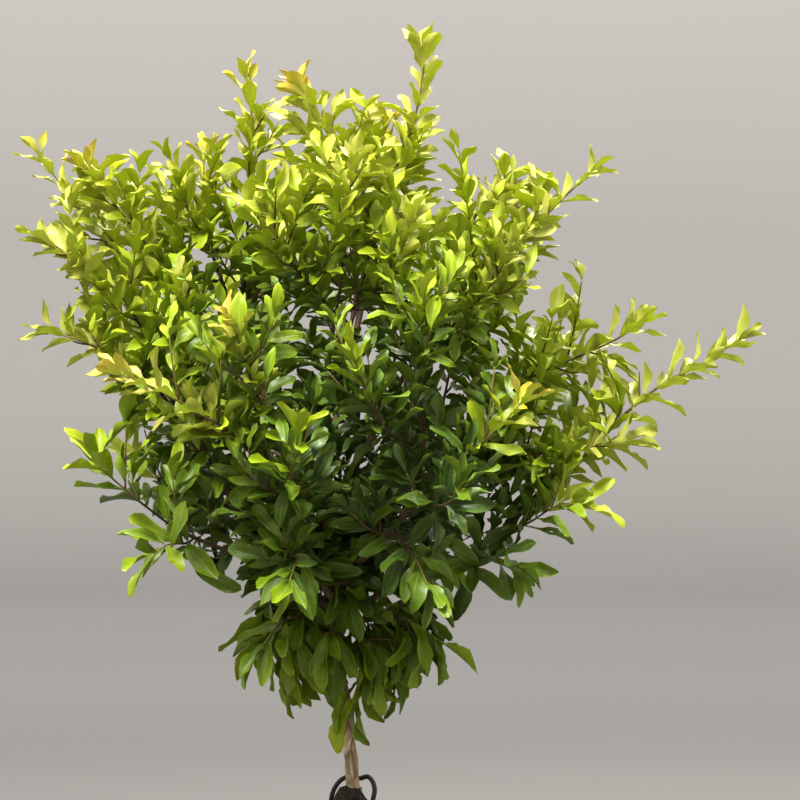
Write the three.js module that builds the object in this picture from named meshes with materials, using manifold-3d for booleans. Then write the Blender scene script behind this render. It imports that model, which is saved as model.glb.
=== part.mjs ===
// A dwarf pomegranate grown as a bonsai in a round clay pot.
// Millimetres, +Z up. The pot stands on z = 0, its axis is the z axis, and the viewer stands at -Y.
import * as THREE from 'three';
import { mergeVertices } from 'three/addons/utils/BufferGeometryUtils.js';
import Module from 'manifold-3d';

const wasm = await Module();
wasm.setup();

// Driving dimensions of the pot
const POT_HEIGHT = 84;
const RIM_RADIUS = 95;
const RIM_HEIGHT = 11;
const RIM_LIP = 4;
const FOOT_RADIUS = 66;
const FOOT_HEIGHT = 4;
const WALL = 6.5;
const FLOOR = 9;
const POT_SEGMENTS = 24;
const WALL_HEIGHTS = [14, 30, 52, 78];
const CHANNEL_COUNT = 3;
const CHANNEL_WIDTH = 18;
const CHANNEL_DEPTH = 4;
const CHANNEL_START = 15;
const DRAIN_RADIUS = 5;
const DRAIN_DISTANCE = 34;
const DRAIN_SEGMENTS = 16;

// Driving dimensions of the soil
const SOIL_MOUND_HEIGHT = 88;
const COLLAR_RADIUS = 13;
const COLLAR_HEIGHT = 16;

// Driving dimensions of the wire, the trunk and the twigs
const CLEARANCE = 0.35;
const WIRE_RADIUS = 1.45;
const WIRE_SIDES = 6;
const WIRE_STEPS = 14;
const TRUNK_SIDES = 5;
const TWIG_SIDES = 3;
const TWIG_TIP_RADIUS = 0.5;
const TWIG_TAPER = 0.0062;

// Where the leaves stand on a twig: pairs a step apart, every third of them modelled, bare near the foot
const INTERNODE = 9.3;
const PAIR_STRIDE = 3;
const BARE_SHARE = 0.2;
const FEWEST_PAIRS = 3;

// Leaf sizes: long ones low in the crown, short ones at the top and at the twig tips
const LOW_LEAF = 37;
const HIGH_LEAF = 24;
const SHRINK_BETWEEN = [200, 430];
const SIZE_AT_FOOT = 1.05;
const SIZE_AT_TIP = 0.82;
const SIZE_RANGE = [0.86, 1.12];
const WIDTH_RANGE = [0.22, 0.29];
const BEND_RANGE = [0.05, 0.24];
const BLADE_THICKNESS = 1.0;

// Two sections of a leaf: the share of its length, and its half width there as a share of the width
const LEAF_SECTIONS = [[0.36, 0.42], [0.74, 0.5]];
const EDGE_LIFT = 0.25;

// How the leaves lie, in degrees, and how far they hang low in the crown and reach up above that
const OPEN_AT_FOOT = 62;
const OPEN_AT_TIP = 34;
const OPEN_SPREAD = 16;
const OPEN_END_LEAF = 10;
const AZIMUTH_SPREAD = 24;
const ROLL_SPREAD = 50;
const TOWARDS_LIGHT = 0.8;
const HANG = -1.3;
const REACH_UP = 0.25;
const HANG_BETWEEN = [195, 262];
const END_LEAF_SUNK = 2;
const SEED = 7;

// Turn about the twig, in degrees, and size of each try at placing a leaf clear of the others
const TRIES = [[0, 1], [26, 1], [-26, 1], [52, 1], [-52, 1], [84, 0.9], [-84, 0.9], [120, 0.8], [-120, 0.8]];
const SHARED_ROOT_VOLUME = 1.5;
const SHORTEST_EDGE = 0.05;

const CLAY = new THREE.MeshStandardMaterial({ color: 0x8a5540, roughness: 0.85 });
const EARTH = new THREE.MeshStandardMaterial({ color: 0x2b2119, roughness: 1.0 });
const BLACK_WIRE = new THREE.MeshStandardMaterial({ color: 0x17160f, roughness: 0.5 });
const BARK = new THREE.MeshStandardMaterial({ color: 0x8d7650, roughness: 0.8 });
const LEAF_GREEN = new THREE.MeshStandardMaterial({ color: 0x7f9a25, roughness: 0.45 });

// Trunk and limbs: points on the axis, then radii at equal steps from the first point to the last
const LIMBS = {
  leader: {
    points: [
      [2, 0, 44], [2, 0, 84], [1.6, 0, 104], [-0.4, 1, 129], [-2.8, -1, 150], [-7, 1, 178],
      [-8.4, 0, 200], [-9, 0.5, 218], [-11, 2, 238], [-14, 3, 262], [-12, 1, 300], [-4, -1, 345],
      [6, 1, 385], [10, 5, 410],
    ],
    radii: [6.8, 5.6, 4.4, 4.0, 4.0, 3.9, 3.9, 3.5, 3.1, 2.9, 2.5, 2.1, 1.7, 1.4],
  },
  left: {
    points: [[-8.4, 0, 205], [-30, 4, 228], [-58, 6, 258], [-88, 4, 300], [-112, 2, 345]],
    radii: [2.8, 1.3],
  },
  left_high: {
    points: [[-14, 3, 258], [-34, 10, 300], [-55, 14, 345], [-72, 16, 392], [-84, 14, 425]],
    radii: [2.4, 1.2],
  },
  left_low: {
    points: [[-28, 4, 226], [-60, -14, 240], [-90, -24, 252], [-107, -28, 261]],
    radii: [1.9, 1.2],
  },
  right_high: {
    points: [[-14, 3, 262], [6, -6, 300], [30, -8, 345], [50, -6, 385], [61, -4, 424]],
    radii: [2.4, 1.2],
  },
  right_mid: {
    points: [[-11, 2, 235], [18, 10, 262], [52, 12, 292], [91, 8, 336]],
    radii: [2.3, 1.2],
  },
  right: {
    points: [[-8.4, 0, 205], [18, -8, 218], [45, -12, 228], [67, -15, 237], [91, -20, 259]],
    radii: [2.7, 1.4],
  },
  front_left: {
    points: [[-8.4, 0, 213], [-24, -26, 238], [-42, -58, 275], [-52, -88, 320]],
    radii: [2.5, 1.3],
  },
  front_right: {
    points: [[-9, 0, 220], [12, -30, 245], [34, -62, 270], [43, -84, 300], [43, -96, 335]],
    radii: [2.5, 1.3],
  },
  front_high: {
    points: [[-12, 1, 300], [-14, -28, 330], [-10, -58, 372], [-4, -78, 405]],
    radii: [2.0, 1.2],
  },
  back_left: {
    points: [[-9, 1, 222], [-28, 28, 250], [-48, 60, 292], [-60, 88, 335]],
    radii: [2.4, 1.3],
  },
  back_right: {
    points: [[-9, 1, 226], [12, 32, 252], [38, 64, 288], [56, 86, 330]],
    radii: [2.4, 1.3],
  },
  back_high: {
    points: [[-12, 1, 305], [-8, 30, 340], [0, 58, 380], [4, 76, 412]],
    radii: [2.0, 1.2],
  },
};

// Leafy shoots: the limb, the share of its length where the shoot leaves it, and the points after that
const SHOOTS = [
  ['leader', 1, [[18, 8, 443], [30, 10, 480], [39, 10, 505], [44, 9, 533], [42, 8, 547]]],
  ['leader', 0.94, [[16, -10, 430], [1, -14, 468], [-19, -14, 505], [-30, -13, 520]]],
  ['leader', 0.89, [[12, 20, 425], [22, 28, 462], [21, 30, 500]]],
  ['back_high', 1, [[0, 84, 450], [-4, 86, 482]]],
  ['back_high', 0.8, [[28, 88, 418], [42, 102, 452]]],
  ['back_high', 0.75, [[-28, 88, 414], [-42, 104, 448]]],
  ['front_high', 1, [[-2, -86, 440], [4, -88, 474]]],
  ['front_high', 0.8, [[-34, -90, 416], [-48, -104, 446]]],
  ['front_high', 0.75, [[22, -88, 406], [38, -104, 440]]],
  ['left_high', 0.72, [[-63, 24, 410], [-62, 22, 453], [-59, 20, 498], [-63, 20, 529]]],
  ['left_high', 1, [[-88, 12, 440], [-88, 10, 483]]],
  ['left_high', 0.68, [[-48, -4, 412], [-36, -12, 440], [-26, -12, 462]]],
  ['left_high', 0.85, [[-103, 6, 411], [-127, 2, 434], [-147, -4, 461], [-157, -6, 474]]],
  [
    'left_high', 0.78,
    [[-100, 36, 402], [-130, 44, 418], [-151, 47, 433], [-168, 46, 456], [-189, 44, 482]],
  ],
  ['left', 1, [[-120, -4, 368], [-138, -12, 399], [-164, -18, 419], [-182, -20, 429]]],
  ['left', 0.9, [[-126, -20, 352], [-152, -30, 367], [-178, -34, 376]]],
  ['left', 0.75, [[-112, 38, 326], [-136, 64, 350], [-156, 76, 374]]],
  ['left', 0.5, [[-84, 40, 268], [-112, 66, 282], [-132, 82, 300]]],
  ['left', 0.7, [[-92, -22, 326], [-96, -38, 366], [-100, -46, 404]]],
  ['front_left', 0.8, [[-66, -92, 314], [-84, -102, 326], [-110, -110, 341], [-132, -114, 350]]],
  ['front_left', 1, [[-57, -106, 350], [-66, -124, 378]]],
  ['left_low', 1, [[-126, -34, 276], [-142, -38, 290], [-150, -40, 298]]],
  ['left_low', 0.7, [[-97, -38, 250], [-106, -54, 250], [-115, -67, 245]]],
  ['leader', 0.47, [[-24, -16, 206], [-40, -29, 203], [-51, -38, 190]]],
  ['leader', 0.49, [[-27, 18, 209], [-46, 35, 207], [-58, 46, 193]]],
  ['leader', 0.42, [[3, -11, 195], [12, -20, 190], [16, -26, 176]]],
  ['leader', 0.455, [[12, -13, 203], [34, -24, 205], [53, -33, 192]]],
  ['leader', 0.44, [[6, 16, 202], [23, 36, 204], [36, 52, 191]]],
  ['front_left', 0.35, [[-27, -52, 244], [-30, -80, 242], [-34, -106, 230]]],
  ['front_right', 0.4, [[32, -72, 252], [39, -94, 243], [46, -114, 228]]],
  ['back_left', 0.4, [[-32, 60, 252], [-35, 88, 246], [-38, 112, 232]]],
  ['back_right', 0.4, [[30, 60, 254], [42, 86, 250], [53, 110, 236]]],
  ['front_right', 1, [[40, -108, 368], [44, -118, 396]]],
  ['front_right', 0.75, [[66, -96, 302], [86, -116, 318], [100, -130, 334]]],
  ['front_right', 0.6, [[48, -94, 274], [58, -118, 276], [66, -140, 288]]],
  ['front_left', 0.6, [[-34, -92, 280], [-32, -122, 296], [-28, -146, 316]]],
  ['front_right', 0.8, [[22, -112, 318], [10, -132, 342], [2, -146, 364]]],
  ['back_left', 1, [[-68, 102, 370], [-76, 112, 402]]],
  ['back_left', 0.75, [[-84, 94, 312], [-104, 110, 328], [-120, 120, 346]]],
  ['back_left', 0.6, [[-44, 98, 288], [-42, 126, 304], [-40, 148, 322]]],
  ['back_right', 1, [[64, 98, 366], [74, 106, 398]]],
  ['back_right', 0.75, [[82, 92, 308], [104, 106, 324], [120, 116, 344]]],
  ['back_right', 0.6, [[40, 98, 286], [42, 126, 302], [44, 146, 320]]],
  ['right_high', 1, [[78, -6, 448], [98, -8, 462]]],
  ['right_high', 0.78, [[67, -18, 396], [88, -24, 417], [106, -26, 433], [122, -26, 450], [145, -24, 472]]],
  ['right_high', 0.6, [[58, 28, 376], [82, 50, 402], [98, 60, 432]]],
  ['right_high', 0.55, [[54, -42, 372], [80, -62, 398], [96, -72, 424]]],
  ['right_mid', 1, [[111, 8, 350], [137, 6, 361], [161, 4, 372], [172, 3, 380]]],
  ['right_mid', 0.8, [[90, 36, 326], [112, 58, 346], [132, 74, 368]]],
  [
    'right', 1,
    [[110, -20, 277], [136, -16, 297], [164, -8, 326], [188, -3, 345], [212, 2, 357], [234, 5, 372]],
  ],
  ['right', 0.8, [[82, -34, 276], [88, -42, 300], [92, -46, 324]]],
  ['right', 0.6, [[70, -32, 239], [86, -48, 242], [98, -60, 237]]],
  ['right', 0.93, [[106, -34, 262], [122, -44, 272], [138, -48, 272]]],
  ['right_mid', 0.7, [[92, -14, 300], [118, -24, 304], [146, -28, 307], [164, -28, 309]]],
];

// A number from 0 to 1 that depends only on the shoot, the leaf and what is drawn
function draw(shoot, leaf, what) {
  const wave = Math.sin(shoot * 12.9898 + leaf * 78.233 + what * 37.719 + SEED) * 43758.5453;
  return wave - Math.floor(wave);
}

const vector = ([x, y, z]) => new THREE.Vector3(x, y, z);
const curveThrough = (points) => new THREE.CatmullRomCurve3(points.map(vector), false, 'catmullrom');
const mix = (a, b, share) => a + (b - a) * share;
const degrees = THREE.MathUtils.degToRad;

// A smooth step from 0 at the lower height to 1 at the upper one
const rise = ([low, high], z) => THREE.MathUtils.smoothstep(z, low, high);

// Closed solid from points and triangles that share them
function solidFromArrays(points, triangles) {
  const mesh = new wasm.Mesh({
    numProp: 3,
    vertProperties: new Float32Array(points.flatMap((point) => [point.x, point.y, point.z])),
    triVerts: new Uint32Array(triangles.flat()),
  });
  return new wasm.Manifold(mesh);
}

// Closed solid from a three.js geometry, its doubled points merged and its empty triangles dropped
function solidFromGeometry(geometry) {
  const bare = geometry.clone();
  bare.deleteAttribute('normal');
  bare.deleteAttribute('uv');
  const merged = mergeVertices(bare, 1e-3);
  const place = merged.getAttribute('position');
  const points = [];
  for (let i = 0; i < place.count; i += 1) points.push(new THREE.Vector3().fromBufferAttribute(place, i));
  const triangles = [];
  for (let i = 0; i < merged.index.count; i += 3) {
    const [a, b, c] = [0, 1, 2].map((corner) => merged.index.getX(i + corner));
    if (a !== b && b !== c && c !== a) triangles.push([a, b, c]);
  }
  return solidFromArrays(points, triangles);
}

// A named mesh of a solid
function meshOf(name, solid, material) {
  const { vertProperties, triVerts } = solid.getMesh();
  const geometry = new THREE.BufferGeometry();
  geometry.setAttribute('position', new THREE.BufferAttribute(vertProperties, 3));
  geometry.setIndex(new THREE.BufferAttribute(triVerts, 1));
  geometry.computeVertexNormals();
  const mesh = new THREE.Mesh(geometry, material);
  mesh.name = name;
  return mesh;
}

// Two directions square to a curve's tangent, turned as little as its chord allows
function crossFrame(curve, share) {
  const chord = curve.getPoint(1).sub(curve.getPoint(0)).normalize();
  const upright = Math.abs(chord.z) > 0.95 ? new THREE.Vector3(0, 1, 0) : new THREE.Vector3(0, 0, 1);
  const tangent = curve.getTangent(share);
  const across = chord.cross(upright);
  across.addScaledVector(tangent, -across.dot(tangent)).normalize();
  return { tangent, across, over: tangent.clone().cross(across) };
}

// Tapered limb or twig: rings along a curve, flat at its foot and flat or pointed at its end
function taperedTube(curve, radiusAt, steps, sides, pointed) {
  const points = [];
  const triangles = [];
  const rings = pointed ? steps : steps + 1;
  for (let ring = 0; ring < rings; ring += 1) {
    const share = ring / steps;
    const { across, over } = crossFrame(curve, share);
    for (let side = 0; side < sides; side += 1) {
      const angle = (2 * Math.PI * side) / sides;
      const radius = radiusAt(share);
      points.push(curve.getPoint(share)
        .addScaledVector(across, radius * Math.cos(angle))
        .addScaledVector(over, radius * Math.sin(angle)));
    }
  }
  for (let ring = 0; ring + 1 < rings; ring += 1) {
    for (let side = 0; side < sides; side += 1) {
      const a = ring * sides + side;
      const b = ring * sides + ((side + 1) % sides);
      triangles.push([a, b, b + sides], [a, b + sides, a + sides]);
    }
  }
  for (let side = 1; side + 1 < sides; side += 1) triangles.push([0, side + 1, side]);
  const last = (rings - 1) * sides;
  if (pointed) {
    points.push(curve.getPoint(1));
    for (let side = 0; side < sides; side += 1) {
      triangles.push([last + side, last + ((side + 1) % sides), rings * sides]);
    }
  } else {
    for (let side = 1; side + 1 < sides; side += 1) triangles.push([last, last + side, last + side + 1]);
  }
  return solidFromArrays(points, triangles);
}

// Round solid from a profile of [radius, height] pairs that starts and ends on the axis
function turned(profile) {
  const outline = profile.map(([radius, height]) => new THREE.Vector2(radius, height));
  return solidFromGeometry(new THREE.LatheGeometry(outline, POT_SEGMENTS).rotateX(Math.PI / 2));
}

// Inner radius of the pot at a height, on a wall that flares quickly from the foot and then stands up
function potInside(z) {
  const flare = Math.sqrt((z - FOOT_HEIGHT) / POT_HEIGHT);
  return mix(FOOT_RADIUS, RIM_RADIUS - RIM_LIP, flare) - WALL;
}

// Round pot with a lip, and with channels under its foot that lead outwards from the drain holes
function makePot() {
  const outside = (z) => [potInside(z) + WALL, z];
  const band = POT_HEIGHT - RIM_HEIGHT;
  const body = turned([
    [0, 0], [FOOT_RADIUS - 3, 0], [FOOT_RADIUS, 3],
    ...WALL_HEIGHTS.slice(0, 3).map(outside), outside(band - 3),
    [RIM_RADIUS, band], [RIM_RADIUS, POT_HEIGHT - 2], [RIM_RADIUS - 2, POT_HEIGHT],
    [potInside(POT_HEIGHT), POT_HEIGHT], ...WALL_HEIGHTS.toReversed().map((z) => [potInside(z), z]),
    [potInside(WALL_HEIGHTS[0]) - 5, FLOOR], [0, FLOOR],
  ]);
  const cuts = [];
  for (let turn = 0; turn < CHANNEL_COUNT; turn += 1) {
    const channel = new THREE.BoxGeometry(FOOT_RADIUS * 2, CHANNEL_WIDTH, CHANNEL_DEPTH * 2);
    channel.translate(FOOT_RADIUS + CHANNEL_START, 0, 0);
    const drain = new THREE.CylinderGeometry(DRAIN_RADIUS, DRAIN_RADIUS, FLOOR * 3, DRAIN_SEGMENTS);
    drain.rotateX(Math.PI / 2).translate(DRAIN_DISTANCE, 0, 0);
    const angle = degrees(90 + (360 * turn) / CHANNEL_COUNT);
    cuts.push(solidFromGeometry(channel.rotateZ(angle)), solidFromGeometry(drain.rotateZ(angle)));
  }
  return cuts.reduce((pot, cut) => pot.subtract(cut), body);
}

// Wire loop that comes up out of the soil, passes behind the trunk and goes down again
function makeWire(radius) {
  const route = curveThrough([
    [-12, 9, 80], [-12, 9, 90], [-10.4, 8.4, 99], [-7, 8, 105], [-2.5, 8, 108], [2.5, 8, 107.6],
    [6.5, 7.4, 107.6], [10.4, 6.2, 108.6], [13.4, 5, 106], [14.8, 4, 101], [14, 3.4, 96],
    [12.8, 3, 90], [12.4, 3, 80],
  ]);
  return taperedTube(route, () => radius, WIRE_STEPS, WIRE_SIDES, false);
}

// Soil that fills the pot, its surface raised in a gentle mound and a small collar round the trunk
function makeSoil(trunkWithGap, wireWithGap) {
  const collarTop = SOIL_MOUND_HEIGHT + COLLAR_HEIGHT;
  const body = turned([
    [0, FLOOR + CLEARANCE], [potInside(WALL_HEIGHTS[0]) - 5.5, FLOOR + CLEARANCE],
    ...WALL_HEIGHTS.map((z) => [potInside(z) - CLEARANCE, z]),
    [40, SOIL_MOUND_HEIGHT - 4], [COLLAR_RADIUS + 4, SOIL_MOUND_HEIGHT],
    [COLLAR_RADIUS - 3, SOIL_MOUND_HEIGHT + 7], [COLLAR_RADIUS - 6, collarTop - 2], [0, collarTop],
  ]);
  return body.subtract(trunkWithGap).subtract(wireWithGap);
}

// Radius along a limb, from the listed radii at equal steps
function radiusAlong(radii, gap) {
  return (share) => {
    const place = Math.min(share * (radii.length - 1), radii.length - 1 - 1e-9);
    const before = Math.floor(place);
    return mix(radii[before], radii[before + 1], place - before) + gap;
  };
}

// Trunk and limbs in one piece, made fatter by a gap where it only serves to cut
function makeTrunk(gap) {
  const limbs = Object.values(LIMBS).map(({ points, radii }) => {
    const line = points.map(vector);
    const end = line.at(-1);
    end.addScaledVector(end.clone().sub(line.at(-2)).normalize(), gap);
    line[0].z -= gap;
    const curve = new THREE.CatmullRomCurve3(line, false, 'catmullrom');
    const steps = radii.length > 2 ? points.length - 1 : 2 * (points.length - 1);
    return taperedTube(curve, radiusAlong(radii, gap), steps, TRUNK_SIDES, false);
  });
  return wasm.Manifold.union(limbs);
}

// Course, thickness and leaf places of one leafy shoot
function planShoot([limb, share, points], index) {
  const foot = curveThrough(LIMBS[limb].points).getPoint(share);
  const curve = new THREE.CatmullRomCurve3([foot, ...points.map(vector)], false, 'catmullrom');
  const length = curve.getLength();
  const pairs = Math.max(FEWEST_PAIRS, Math.round((length * (1 - BARE_SHARE)) / INTERNODE));
  const radiusAt = (at) => TWIG_TIP_RADIUS + TWIG_TAPER * length * (1 - at);
  return { index, curve, length, pairs, radiusAt };
}

// Share of the twig's length at which a leaf stands. Leaves 2j and 2j + 1 are pair j, the last ends the twig.
function leafShare({ length, pairs }, leaf) {
  const pair = Math.floor(leaf / 2);
  if (pair === pairs) return 1 - END_LEAF_SUNK / length;
  return BARE_SHARE + ((1 - BARE_SHARE) * (pair + 0.6)) / pairs;
}

// Root, direction, upper side and size of one leaf
function poseLeaf(shoot, leaf, turn) {
  const { index, curve, pairs } = shoot;
  const endsTwig = leaf === 2 * pairs;
  const share = leafShare(shoot, leaf);
  const chance = (what) => draw(index, leaf, what);
  const { tangent, across, over } = crossFrame(curve, share);
  const root = curve.getPoint(share);
  const azimuth = degrees(360 * draw(index, 0, 1) + 90 * Math.floor(leaf / 2) + 180 * (leaf % 2)
    + AZIMUTH_SPREAD * (chance(2) - 0.5) + turn);
  const open = degrees(endsTwig ? OPEN_END_LEAF
    : mix(OPEN_AT_FOOT, OPEN_AT_TIP, share) + OPEN_SPREAD * (chance(3) - 0.5));
  const along = tangent.clone().multiplyScalar(Math.cos(open))
    .addScaledVector(across, Math.sin(open) * Math.cos(azimuth))
    .addScaledVector(over, Math.sin(open) * Math.sin(azimuth));
  if (!endsTwig) along.z += mix(HANG, REACH_UP, rise(HANG_BETWEEN, root.z));
  along.normalize();
  const up = tangent.clone();
  up.z += TOWARDS_LIGHT;
  up.addScaledVector(along, -up.dot(along)).normalize();
  const roll = degrees(ROLL_SPREAD * (chance(4) - 0.5));
  const face = up.clone().multiplyScalar(Math.cos(roll));
  face.addScaledVector(along.clone().cross(up), Math.sin(roll));
  const grown = mix(LOW_LEAF, HIGH_LEAF, rise(SHRINK_BETWEEN, root.z));
  const size = grown * mix(SIZE_AT_FOOT, SIZE_AT_TIP, share) * mix(...SIZE_RANGE, chance(5));
  const width = size * mix(...WIDTH_RANGE, chance(6));
  return { root, along, face, size, width, bend: mix(...BEND_RANGE, chance(7)) };
}

// Closed blade with a keel under its rib, its edges raised and its tip bent back
function blade({ root, along, face, size, width, bend }, extra) {
  const side = along.clone().cross(face);
  const spot = (share, sideways, lift) => root.clone()
    .addScaledVector(along, (size + extra) * share)
    .addScaledVector(side, sideways)
    .addScaledVector(face, lift - bend * size * share * share);
  const half = BLADE_THICKNESS / 2 + extra;
  const points = [spot(0, 0, half), spot(0, 0, -half)];
  for (const [share, halfWidth] of LEAF_SECTIONS) {
    const reach = halfWidth * width + extra;
    points.push(spot(share, -reach, EDGE_LIFT * reach), spot(share, reach, EDGE_LIFT * reach));
  }
  points.push(spot(LEAF_SECTIONS[0][0], 0, -half), spot(1, 0, 0));
  return solidFromArrays(points, [
    [0, 3, 2], [2, 3, 5], [2, 5, 4], [4, 5, 7], [0, 2, 1], [0, 1, 3],
    [1, 2, 6], [1, 6, 3], [6, 2, 4], [6, 4, 7], [6, 7, 5], [6, 5, 3],
  ]);
}

// Box round a solid
function boxOf(solid) {
  const { min, max } = solid.boundingBox();
  return new THREE.Box3(vector(min), vector(max));
}

// Whether a solid stays clear of every listed neighbour
function isClear(solid, neighbours, allowed) {
  const box = boxOf(solid);
  return neighbours
    .filter((other) => box.intersectsBox(other.box))
    .every((other) => solid.intersect(other.solid).volume() <= allowed);
}

// The pairs that are modelled, counted back from the twig's end, after the leaf that ends it
function modelledLeaves({ pairs }) {
  const leaves = [2 * pairs];
  for (let pair = pairs - 1; pair >= 0; pair -= PAIR_STRIDE) leaves.push(2 * pair, 2 * pair + 1);
  return leaves;
}

// A leaf in the first pose that is clear of the trunk, of other shoots and of its own shoot's leaves
function placeLeaf(plan, leaf, trunk, foreign, own) {
  for (const [turn, scale] of TRIES) {
    const pose = poseLeaf(plan, leaf, turn);
    pose.size *= scale;
    const solid = blade(pose, 0);
    const withGap = blade(pose, CLEARANCE);
    const clearOfOthers = isClear(withGap, trunk, 0) && isClear(withGap, foreign, 0);
    if (clearOfOthers && isClear(solid, own, SHARED_ROOT_VOLUME)) return [{ solid, box: boxOf(solid) }];
  }
  return [];
}

// Twig and leaves in one piece that stops short of the trunk and limbs
function fuseShoot({ plan, twig, leaves }, trunkWithGap) {
  const whole = wasm.Manifold.union([twig.solid, ...leaves.map((leaf) => leaf.solid)]).subtract(trunkWithGap);
  const pieces = whole.simplify(SHORTEST_EDGE).decompose();
  return {
    name: `leafy_shoot_${String(plan.index + 1).padStart(2, '0')}`,
    solid: pieces.reduce((best, piece) => (piece.volume() > best.volume() ? piece : best)),
  };
}

// All leafy shoots: every twig stands before the first leaf is placed
function makeShoots(trunkWithGap) {
  const trunk = [{ solid: trunkWithGap, box: boxOf(trunkWithGap) }];
  const shoots = SHOOTS.map(planShoot).map((plan) => {
    const steps = 2 * (plan.curve.points.length - 1);
    const solid = taperedTube(plan.curve, plan.radiusAt, steps, TWIG_SIDES, true);
    return { plan, twig: { solid, box: boxOf(solid) }, leaves: [] };
  });
  for (const shoot of shoots) {
    const others = shoots.filter((other) => other !== shoot);
    const foreign = others.flatMap((other) => [other.twig, ...other.leaves]);
    for (const leaf of modelledLeaves(shoot.plan)) {
      shoot.leaves.push(...placeLeaf(shoot.plan, leaf, trunk, foreign, shoot.leaves));
    }
  }
  return shoots.map((shoot) => fuseShoot(shoot, trunkWithGap));
}

const trunkWithGap = makeTrunk(CLEARANCE);
const bonsai = new THREE.Group();
bonsai.add(
  meshOf('pot', makePot(), CLAY),
  meshOf('soil', makeSoil(trunkWithGap, makeWire(WIRE_RADIUS + CLEARANCE)), EARTH),
  meshOf('anchor_wire', makeWire(WIRE_RADIUS), BLACK_WIRE),
  meshOf('trunk', makeTrunk(0), BARK),
);
for (const { name, solid } of makeShoots(trunkWithGap)) bonsai.add(meshOf(name, solid, LEAF_GREEN));

export default bonsai;
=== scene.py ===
# %% [markdown]
# # A dwarf pomegranate bonsai and its clay pot
#
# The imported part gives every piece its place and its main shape, in faceted solids. This script
# dresses it: smooth bark, a few thousand thin leaves, young twigs, crumbly soil and fired clay.
# The sizes of the tree and the pot are in millimetres, as in the part, and become metres when a
# mesh is made. The camera, the backdrop and the lights are set in metres.

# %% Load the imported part
import math
from collections import defaultdict
from dataclasses import dataclass

import bpy
import numpy as np
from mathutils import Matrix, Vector, noise
from mathutils.kdtree import KDTree


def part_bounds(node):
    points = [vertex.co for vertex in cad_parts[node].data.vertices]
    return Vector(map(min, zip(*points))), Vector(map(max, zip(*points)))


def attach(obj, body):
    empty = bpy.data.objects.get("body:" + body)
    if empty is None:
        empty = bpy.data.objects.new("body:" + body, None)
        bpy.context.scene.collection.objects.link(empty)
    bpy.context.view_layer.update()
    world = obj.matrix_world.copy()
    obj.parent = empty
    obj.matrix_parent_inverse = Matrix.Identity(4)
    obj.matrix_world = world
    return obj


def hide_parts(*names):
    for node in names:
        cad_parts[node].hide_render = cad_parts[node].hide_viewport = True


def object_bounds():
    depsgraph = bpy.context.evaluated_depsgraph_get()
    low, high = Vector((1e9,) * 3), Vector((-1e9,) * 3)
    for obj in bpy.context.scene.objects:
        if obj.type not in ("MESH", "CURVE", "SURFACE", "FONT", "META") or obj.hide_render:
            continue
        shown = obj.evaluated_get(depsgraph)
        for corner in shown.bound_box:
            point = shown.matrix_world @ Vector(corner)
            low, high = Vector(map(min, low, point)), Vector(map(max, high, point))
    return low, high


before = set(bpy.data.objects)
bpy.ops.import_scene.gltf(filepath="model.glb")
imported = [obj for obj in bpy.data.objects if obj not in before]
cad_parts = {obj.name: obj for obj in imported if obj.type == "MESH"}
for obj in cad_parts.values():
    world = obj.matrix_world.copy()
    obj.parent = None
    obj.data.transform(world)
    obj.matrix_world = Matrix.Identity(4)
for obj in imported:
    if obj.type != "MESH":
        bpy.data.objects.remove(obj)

part_box = [list(corner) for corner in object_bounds()]
print("nodes", len(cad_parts), "box", part_box)

# %% [markdown]
# The tree is seen level with the middle of its crown, from far away. A long lens keeps the
# branches from spreading in perspective. The picture is square, 480 mm across at the trunk.

# %% Camera
CAMERA_DISTANCE = 3.0
PICTURE_WIDTH = 0.480
AIM = (0.030, 0.0, 0.335)

lens = bpy.data.cameras.new("camera")
lens.lens = lens.sensor_width * CAMERA_DISTANCE / PICTURE_WIDTH
camera = bpy.data.objects.new("camera", lens)
camera.location = (AIM[0], -CAMERA_DISTANCE, AIM[2])
camera.rotation_euler = (math.radians(90), 0, 0)
bpy.context.scene.collection.objects.link(camera)
bpy.context.scene.camera = camera
print("lens", round(lens.lens), "mm")

# %% [markdown]
# Shader sums read best as Python sums. This small class wraps a node's output, so that
# `1 - mask` or `height * 0.3 + grain` adds the Math nodes by itself. Every other node comes from
# one method: its type, then its settings, then the values or links of its sockets.


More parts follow.
